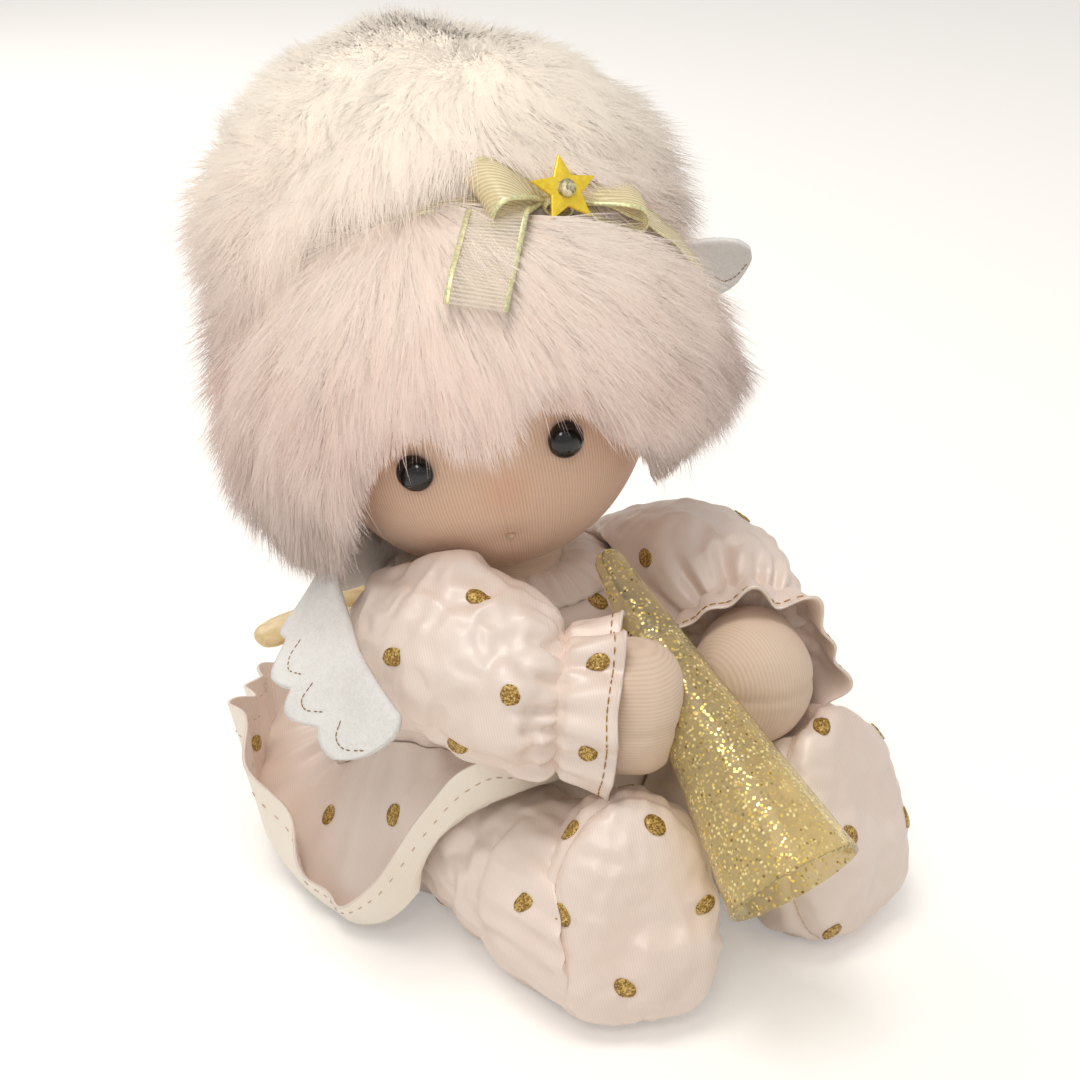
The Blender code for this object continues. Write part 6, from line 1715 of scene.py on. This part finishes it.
@dataclass
class Hair:
    """Plush hair: a fringe ahead of the ribbon and a full topknot behind it."""

    front_centre: tuple[float, float, float] = (0, 2, 4)
    front_half: tuple[float, float, float] = (50, 46, 44)
    back_centre: tuple[float, float, float] = (0, 12, 20.4)
    back_half: tuple[float, float, float] = (45.5, 34.5, 49.6)
    # The ribbon's plane parts the fringe from the topknot
    band_centre: tuple[float, float, float] = (0, 4, 3)
    band_normal: tuple[float, float, float] = (0, -0.954, -0.301)
    face_half_width: float = 31.0
    fringe_edge: float = 14.0
    face_low: float = -43.8
    curtain_drop: float = 15.0
    front_count: int = 54000
    back_count: int = 62000
    crest_from: float = 40.0
    crest_span: float = 26.0
    crest_lean: float = 0.9
    rim_count: int = 12000
    wall_count: int = 15000
    wall_tries: int = 60000
    wall_half: float = 46.0
    wall_top: float = 72.0
    # Seeds of the fringe, the topknot and the wall
    seeds: tuple[int, int, int] = (21, 22, 23)
    # Twelfths of the fibres in each piece
    shares: tuple = ((0, 0), (1, 3), (4, 6), (7, 9), (10, 11))
    # The topknot is fullest towards these corners of the head, by so many mm
    corners: tuple = (((-0.47, 0.38, 0.797), 8.5), ((0.56, 0.35, 0.75), 4.8))
    # Lower edge of the fringe across the face: place across and height of the tips, in mm
    edge: tuple = ((-50, -26), (-40, -24), (-32, -9), (-26.6, 4), (-17, 11.5), (-10.5, 9.5), (-5, 3), (1, 0),
                   (6, 3.5), (10, 10), (15, 12.5), (21, 9), (27, 0), (34, -7), (43, -12), (54, -13))

    def build(self) -> None:
        """Make and dress the hair."""
        for node in ("hair_front", "hair_back"):
            bm = even_skin(node, 1.7 * MM, 6, 0.3 * MM)
            tone = bm.verts.layers.float.new("tone")
            home = HEAD.frame.inverted()
            for vert in bm.verts:
                vert[tone] = 0.38
                if node == "hair_back":
                    local = np.array([home @ vert.co]) / MM
                    vert.co += vert.normal * float(self.swell(local)[0]) * MM
            piece = put(bm, node + "_backing", PILE, Body.HEAD, [node])
        self.front()
        self.back()
        self.wall()

    @staticmethod
    def scattered(rng: np.random.Generator, count: int, centre: tuple, half: tuple) -> tuple[Array, Array]:
        """Points spread evenly over an egg shape, with their outward directions.

        Args:
            rng: seeded generator.
            count: how many points.
            centre: middle of the egg.
            half: its half sizes.

        Returns:
            Points and unit normals, in mm in the head's frame.
        """
        ball = rng.normal(size=(count, 3))
        ball /= np.linalg.norm(ball, axis=1, keepdims=True)
        half = np.array(half)
        points = np.array(centre) + ball * half
        normals = ball / half
        normals /= np.linalg.norm(normals, axis=1, keepdims=True)
        return points, normals

    def swell(self, points: Array) -> Array:
        """How far the topknot swells at points, in mm."""
        away = points - np.array(self.back_centre)
        away /= np.linalg.norm(away, axis=1, keepdims=True)
        total = np.zeros(len(points))
        for way, fullness in self.corners:
            near = np.clip((away @ np.array(way) - 0.66) / 0.32, 0, 1)
            total += fullness * near * near * (3 - 2 * near)
        return total

    def ahead(self, points: Array) -> Array:
        """How far points lie ahead of the ribbon's plane, in mm."""
        return (points - np.array(self.band_centre)) @ np.array(self.band_normal)

    def crest(self, points: Array) -> Array:
        """How near points are to the crown, 0 to 1."""
        return np.clip((points[:, 2] - self.crest_from) / self.crest_span, 0, 1)

    @staticmethod
    def ripple(points: Array, rng: np.random.Generator, size: float) -> Array:
        """Smooth random vectors, so that neighbouring fibres lean alike."""
        total = np.zeros_like(points)
        for _ in range(5):
            wave = rng.normal(size=(3, 3)) / size
            total += np.sin(points @ wave + rng.uniform(0, 6.28, 3))
        return total / 3

    def plant(self, label: str, points: Array, normals: Array, flow: Array, lift: Array,
              lengths: Array, shades: Array, loose: float, rng: np.random.Generator) -> None:
        """Grow one area of hair in equal shares.

        Args:
            label: name of the area.
            points: roots in mm in the head's frame.
            normals: outward directions there.
            flow: lie of the fur there.
            lift: how far fibres stand away from the skin.
            lengths: fibre lengths in mm.
            shades: how far each fibre's tone is moved, by random tone and by painted shade at the ribbon's
                seam.
            loose: how far locks stray from the lie.
            rng: seeded generator.
        """
        clump = self.ripple(points, rng, 4.5) + 0.7 * self.ripple(points, rng, 1.8)
        flow = flow - normals * np.sum(flow * normals, axis=1, keepdims=True)
        flow /= np.linalg.norm(flow, axis=1, keepdims=True)
        jitter = rng.normal(size=points.shape)
        rise = lift[:, None]
        start = flow * (1 - rise) + normals * (rise + 0.06) + 0.7 * loose * clump + 0.07 * jitter
        end = flow * (1 - 0.7 * rise) + normals * (0.8 * rise - 0.16) + 1.4 * loose * clump + 0.14 * jitter
        end += np.array((0, 0, -0.2)) * (1 - rise)
        start /= np.linalg.norm(start, axis=1, keepdims=True)
        end /= np.linalg.norm(end, axis=1, keepdims=True)
        turn = np.array(HEAD.frame.to_3x3())
        roots = (points - 0.4 * normals) * MM @ turn.T + np.array(HEAD.centre)
        starts, ends, outs = start @ turn.T, end @ turn.T, normals @ turn.T
        # Fibres behind the crest stand up into view, so they take their shade from above
        outs = outs + self.crest(points)[:, None] * np.array((0, 0, self.crest_lean))
        outs /= np.linalg.norm(outs, axis=1, keepdims=True)
        pile = Pile()
        turn_of = np.arange(len(roots)) % 12
        for k, (first, last) in enumerate(self.shares):
            pick = (turn_of >= first) & (turn_of <= last)
            rows = (part[pick] for part in (roots, starts, ends, outs, lengths * MM, shades))
            mesh = pile.grow(*rows, f"{label}_pile_{k + 1}")
            piece = put(mesh, mesh.name, PILE, Body.HEAD)
            # Fine pale fibres let light through, so only a few of them shade the rest
            piece.visible_shadow = k == 0

    def bow_room(self, points: Array) -> Array:
        """Which roots lie under the bow."""
        home = np.array((BOW.frame.inverted() @ HEAD.frame).to_4x4())
        local = points * MM @ home[:3, :3].T + home[:3, 3]
        return np.all(np.abs(local) < np.array((19, 7.5, 7)) * MM, axis=1)

    def tail_away(self, points: Array) -> Array:
        """Distance of roots from the middle of the ribbon's hanging end, in mm."""
        home = HEAD.frame.inverted()
        path = np.array([(home @ BOW.tail_path(k / 8)[0])[:] for k in range(9)]) / MM
        return np.min(np.linalg.norm(points[:, None, :] - path[None, :, :], axis=2), axis=1)

    def front(self) -> None:
        """Fringe and side curtains ahead of the ribbon."""
        rng = np.random.default_rng(self.seeds[0])
        points, normals = self.scattered(rng, self.front_count * 5, self.front_centre, self.front_half)
        ahead = self.ahead(points)
        half = (self.fringe_edge - self.face_low) / 2
        across, up = points[:, 0] / self.face_half_width, (points[:, 2] - self.face_low - half) / half
        inside = across ** 2 + up ** 2 < 1
        keep = (ahead > 1.5) & ~(inside & (points[:, 1] < 0)) & (points[:, 2] > -self.curtain_drop)
        points, normals, ahead = (rows[keep][:self.front_count] for rows in (points, normals, ahead))
        under = self.bow_room(points)
        points = points - 6.5 * normals * under[:, None]
        x = points[:, 0]
        lean = np.interp(x, (-45, -20, 0, 12, 30, 48), (-0.35, -0.22, 0.12, 0.35, 0.75, 0.55))
        high = np.clip((points[:, 2] - 15) / 25, 0, 1)
        flow = np.stack((lean * (0.7 + 0.6 * high), np.full(len(x), -0.2), np.full(len(x), -1)), axis=1)
        lengths = rng.uniform(13, 18, len(x))
        tips = np.interp(x + lean * 8, *zip(*self.edge)) + rng.normal(0, 1.2, len(x))
        tips -= np.where(rng.random(len(x)) < 0.02, rng.uniform(3, 9, len(x)), 0)
        lengths = np.clip(np.minimum(lengths, (points[:, 2] - tips) * 1.08), 3.5, None)
        lift = np.full(len(x), 0.2) + 0.14 * np.clip(np.abs(x) / 45, 0, 1)
        lift *= np.clip(self.tail_away(points) / 11, 0.1, 1)
        lift = np.where(under, 0.02, lift)
        lengths = np.where(under, 7, lengths)
        # Painted shade: fibres darken towards the ribbon's seam, where shade falls
        seam = -0.25 * np.exp(-(ahead / 5) ** 2)
        lift = lift * np.where((ahead < 7) & (x > 6), 0.2, 1)
        self.plant("hair_front", points, normals, flow, lift, lengths, seam, 0.15, rng)

    def back(self) -> None:
        """Topknot and back of the head behind the ribbon."""
        rng = np.random.default_rng(self.seeds[1])
        points, normals = self.scattered(rng, self.back_count * 4, self.back_centre, self.back_half)
        ahead = self.ahead(points)
        keep = ahead < -1
        points, normals, ahead = (rows[keep][:self.back_count] for rows in (points, normals, ahead))
        under = self.bow_room(points)
        points = points - 6.5 * normals * under[:, None]
        swollen = self.swell(points)
        points = points + normals * swollen[:, None]
        away = points - np.array((8, -4, 50))
        top = self.crest(points)
        flow = away / np.linalg.norm(away, axis=1, keepdims=True) + np.array((0, -0.1, -0.55))
        flow = flow + top[:, None] * (0.5 * self.ripple(points, rng, 9) + np.array((-0.4, -1.5, 0)))
        lengths = rng.uniform(12, 18, len(points)) * (1 - 0.58 * top)
        low = np.clip((points[:, 2] + 34) / 25, 0.6, 1)
        sides = np.clip(np.abs(points[:, 0]) / 40, 0, 1)
        near = np.exp(-(ahead / 9) ** 2)
        over = near * np.clip((14 - points[:, 0]) / 12, 0, 1)
        lift = 0.26 + 0.18 * sides + 0.06 * top + 0.014 * swollen + 0.2 * over - 0.3 * (near - over)
        lift = np.where(under, 0.02, np.clip(lift, 0.02, 0.7))
        flow = (flow + over[:, None] * np.array((0, -1.1, -0.5))
                + (near - over)[:, None] * np.array((0.2, 0.9, 0)))
        lengths = np.where(under, 7, lengths * low)
        # Locks along the front edge hang over the seam
        rim = rng.choice(np.flatnonzero((near > 0.5) & (over > 0.4) & ~under), self.rim_count)
        points = np.concatenate((points, points[rim] + rng.normal(0, 1.2, (self.rim_count, 3))))
        normals = np.concatenate((normals, normals[rim]))
        hang = np.array((0, -1, -0.75)) + 0.25 * flow[rim]
        flow = np.concatenate((flow, hang))
        lift = np.concatenate((lift, rng.uniform(0.3, 0.6, self.rim_count)))
        lengths = np.concatenate((lengths, rng.uniform(13, 20, self.rim_count)))
        # Painted shade: fibres darken near the ribbon's seam, and the locks that hang over it take a random
        # tone that is mostly darker
        shades = np.concatenate((-0.25 * near, rng.uniform(-0.2, 0.05, self.rim_count)))
        self.plant("hair_back", points, normals, flow, lift, lengths, shades, 0.26, rng)

    def wall(self) -> None:
        """Pile on the front of the topknot, behind the ribbon."""
        rng = np.random.default_rng(self.seeds[2])
        x = rng.uniform(-self.wall_half, self.wall_half, self.wall_tries)
        z = rng.uniform(0, self.wall_top, self.wall_tries)
        _, back, up = self.band_normal
        rise = z - self.band_centre[2]
        points = np.stack((x, self.band_centre[1] - (0.6 + up * rise) / back, z), axis=1)
        inside = np.sum(((points - np.array(self.back_centre)) / np.array(self.back_half)) ** 2, axis=1) < 0.97
        clear = np.sum(((points - np.array(self.front_centre)) / np.array(self.front_half)) ** 2, axis=1) > 0.8
        points = points[inside & clear][:self.wall_count]
        count = len(points)
        normals = np.tile(np.array(self.band_normal), (count, 1))
        flow = np.stack((points[:, 0] / 60, np.full(count, -0.3), np.full(count, -1)), axis=1)
        # Painted shade: a random tone that is never lighter, on pile that lies in the seam behind the ribbon
        shades = rng.uniform(-0.25, 0, count)
        self.plant("hair_wall", points, normals, flow, np.full(count, 0.3), rng.uniform(7, 13, count), shades,
                   0.4, rng)


@dataclass
class Key:
    """Ivory winding key behind the doll."""

    voxel: float = 0.7 * MM

    def build(self) -> None:
        """Make and dress the key."""
        put(even_skin("winding_key", self.voxel, 4), "key_ivory", IVORY, Body.KEY,
            ["winding_key"])


@dataclass
class Movement:
    """Wind-up movement inside the trunk: its CAD shapes stay and get their metals and plastics."""

    finishes: tuple = (("brass", BRASS), ("steel", STEEL), ("case_plastic", CASE_PLASTIC),
                       ("key_plastic", CASE_PLASTIC))

    def build(self) -> None:
        """Dress each node that is still shown."""
        table = dict(self.finishes)
        for name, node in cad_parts.items():
            if node.hide_render:
                continue
            old = node.data.materials[0].name if node.data.materials else ""
            pick = next((finish for slot, finish in table.items() if slot in old), STEEL)
            node.data.materials.clear()
            node.data.materials.append(pick.material())
            LOG.info("%s: carried over in %s (was %s)", name, pick.name, old)


@dataclass
class Dots:
    """Printed glitter dots on the satin."""

    long: float = 2.5 * MM
    short: float = 1.9 * MM
    proud: float = 0.12 * MM
    # On the sides that the photograph hides, dots are tried from far off and kept well apart
    tries: int = 400
    far: float = 300.0 * MM
    apart: float = 16.0 * MM
    lowest: float = 4.0 * MM
    seed: int = 5
    # Where the photograph shows dots, in pixels
    seen: tuple = (
        (478, 597), (393, 657), (510, 697), (457, 746), (598, 663), (588, 752), (490, 773), (655, 825),
        (562, 915), (625, 988), (705, 905), (570, 830), (525, 902), (822, 725), (850, 835), (907, 817),
        (832, 932), (815, 640), (660, 495), (645, 558), (597, 602), (330, 815), (395, 815), (255, 743))

    def build(self, prints: Sequence[Printed]) -> None:
        """Lay every dot on the satin it is printed on.

        Args:
            prints: satin surfaces.
        """
        trees = [cloth.tree for cloth in prints]
        rng = np.random.default_rng(self.seed)
        bm = bmesh.new()
        spots = [found for pixel in self.seen if (found := VIEW.hit(pixel, trees))]
        middle = Vector((0, -20, 30)) * MM
        for _ in range(self.tries):
            way = Vector(rng.normal(size=3)).normalized()
            found = first_hit(middle + way * self.far, -way, trees)
            if not found or found[0].z < self.lowest:
                continue
            # Cloth that is only grazed is left bare, and so is cloth that the photograph shows
            if found[1].dot(-way) > -0.45 or found[1].dot(VIEW.toward) > -0.05:
                continue
            if all((found[0] - spot).length > self.apart for spot, _ in spots):
                spots.append(found)
        for spot, normal in spots:
            lean = float(rng.uniform(0, pi))
            place = facing(spot, normal) @ Matrix.Rotation(lean, 4, "Z")
            disc = bmesh.new()
            bmesh.ops.create_circle(disc, cap_ends=True, cap_tris=True, segments=18, radius=1)
            bmesh.ops.subdivide_edges(disc, edges=disc.edges[:], cuts=1)
            bmesh.ops.transform(disc, matrix=place @ Matrix.Diagonal((self.long, self.short, 1, 1)),
                                verts=disc.verts)
            cloth = min(prints, key=lambda item: item.tree.find_nearest(spot, 9)[3])
            for vert in disc.verts:
                near, out, _, _ = cloth.tree.find_nearest(vert.co, 4 * MM)
                if near is not None:
                    vert.co = near + (out if out.dot(normal) > 0 else -out) * (self.proud + cloth.half)
            bmesh.ops.recalc_face_normals(disc, faces=disc.faces)
            mesh = bpy.data.meshes.new("dot")
            disc.to_mesh(mesh)
            disc.free()
            bm.from_mesh(mesh)
            bpy.data.meshes.remove(mesh)
        put(bm, "satin_dots", DOTS, Body.DOLL, thickness=0.3 * MM)


def when_seen(add: Adder, unseen: float, seen: float) -> Node:
    """One strength for light on the doll and another where the surface itself is looked at.

    Args:
        add: adds a node to the tree of the floor or the world.
        unseen: strength for the light that falls on the doll.
        seen: strength when looked at directly, in a reflection or through the horn.

    Returns:
        The node that gives the strength.
    """
    path = add("LightPath").outputs
    mirrored = add("Math", {"operation": "MAXIMUM"}, {0: path["Is Camera Ray"], 1: path["Is Glossy Ray"]})
    through = add("Math", {"operation": "MAXIMUM"}, {0: mirrored, 1: path["Is Transmission Ray"]})
    return add("Math", {"operation": "MULTIPLY_ADD", 1: seen - unseen, 2: unseen}, {0: through})


@dataclass(frozen=True)
class Paper(Finish):
    """Matt white paper, lifted towards white where it is looked at, without lighting the doll."""

    name: str = "paper_sweep"
    ground: str = "#F6F3EF"
    lift: float = 0.24

    def paint(self, add: Adder, coords: Node) -> dict:
        """Plain paper with its lift."""
        return {"Base Color": linear(self.ground), "Roughness": 0.9, "Specular IOR Level": 0.1,
                "Emission Color": linear("#FFFFFF"), "Emission Strength": when_seen(add, 0, self.lift)}


@dataclass
class Studio:
    """Pale floor, soft light and the photograph's camera."""

    floor_half: float = 40.0
    world_colour: str = "#FFFDFA"
    world_strength: float = 0.5
    # The far floor's own brightness, so that no line shows where the floor ends
    horizon: float = 0.68
    # Name, place, side in metres, power in watts and colour of each lamp
    lamps: tuple = (("key", Vector((-0.27, -0.08, 1.12)), 0.45, 4.8, "#FFF9F2"),
                    ("back", Vector((0.1, 0.85, 0.6)), 0.5, 2.4, "#FFF9F2"),
                    ("fill", VIEW.eye + Vector((-0.05, 0, 0.16)), 0.12, 0.36, "#FFFFFF"))

    def build(self) -> None:
        """Make the floor, the lights, the world and the camera."""
        bm = bmesh.new()
        bmesh.ops.create_grid(bm, x_segments=2, y_segments=2, size=self.floor_half)
        floor = new_object(bm, "floor")
        bm.free()
        floor.data.materials.append(Paper().material())
        self.light()
        self.camera()
        bpy.context.scene.view_settings.view_transform = "Standard"

    def lamp(self, name: str, place: Vector, size: float, power: float, colour: str) -> None:
        """Square soft light aimed at the doll.

        Args:
            name: the lamp's name.
            place: where it stands.
            size: its side.
            power: its power in watts.
            colour: sRGB hex colour.
        """
        data = bpy.data.lights.new(name, "AREA")
        data.shape = "SQUARE"
        data.size = size
        data.energy = power
        data.color = linear(colour)[:3]
        lamp = new_object(data, name)
        lamp.location = place
        lamp.rotation_euler = (VIEW.target - place).to_track_quat("-Z", "Y").to_euler()

    def light(self) -> None:
        """Even white room, a broad key from above, a small fill in front and a soft lamp behind."""
        world = bpy.data.worlds.new("studio")
        world.use_nodes = True
        ground = world.node_tree.nodes["Background"]
        ground.inputs["Color"].default_value = linear(self.world_colour)
        strength = when_seen(partial(add_node, world.node_tree), self.world_strength, self.horizon)
        world.node_tree.links.new(strength.outputs[0], ground.inputs["Strength"])
        bpy.context.scene.world = world
        for lamp in self.lamps:
            self.lamp(*lamp)

    def camera(self) -> None:
        """Camera at the photograph's viewpoint."""
        data = bpy.data.cameras.new("camera")
        data.sensor_fit = "HORIZONTAL"
        data.angle = 2 * atan(VIEW.half_px / VIEW.focal_px)
        data.clip_start = 0.01
        camera = new_object(data, "camera")
        camera.location = VIEW.eye
        camera.rotation_euler = (-VIEW.toward).to_track_quat("-Z", "Y").to_euler()
        bpy.context.scene.camera = camera


def main() -> None:
    """Build every piece in order."""
    logging.basicConfig(level=logging.INFO, format="%(name)s %(message)s")
    Studio().build()
    shop = SoftShop()
    shop.jobs += [arm.job() for arm in ARMS]
    for leg in LEG_PIECES:
        shop.jobs += leg.jobs()
    shop.run()
    tunic = Tunic()
    tunic.build()
    prints = list(tunic.prints)
    for limb in (*ARMS, *LEG_PIECES):
        limb.build(shop)
        prints += limb.prints
    Dots().build(prints)
    Horn().build()
    for wing in WINGS:
        wing.build()
    HEAD.build()
    BOW.build()
    Hair().build()
    Key().build()
    Movement().build()


if __name__ == "__main__":
    main()
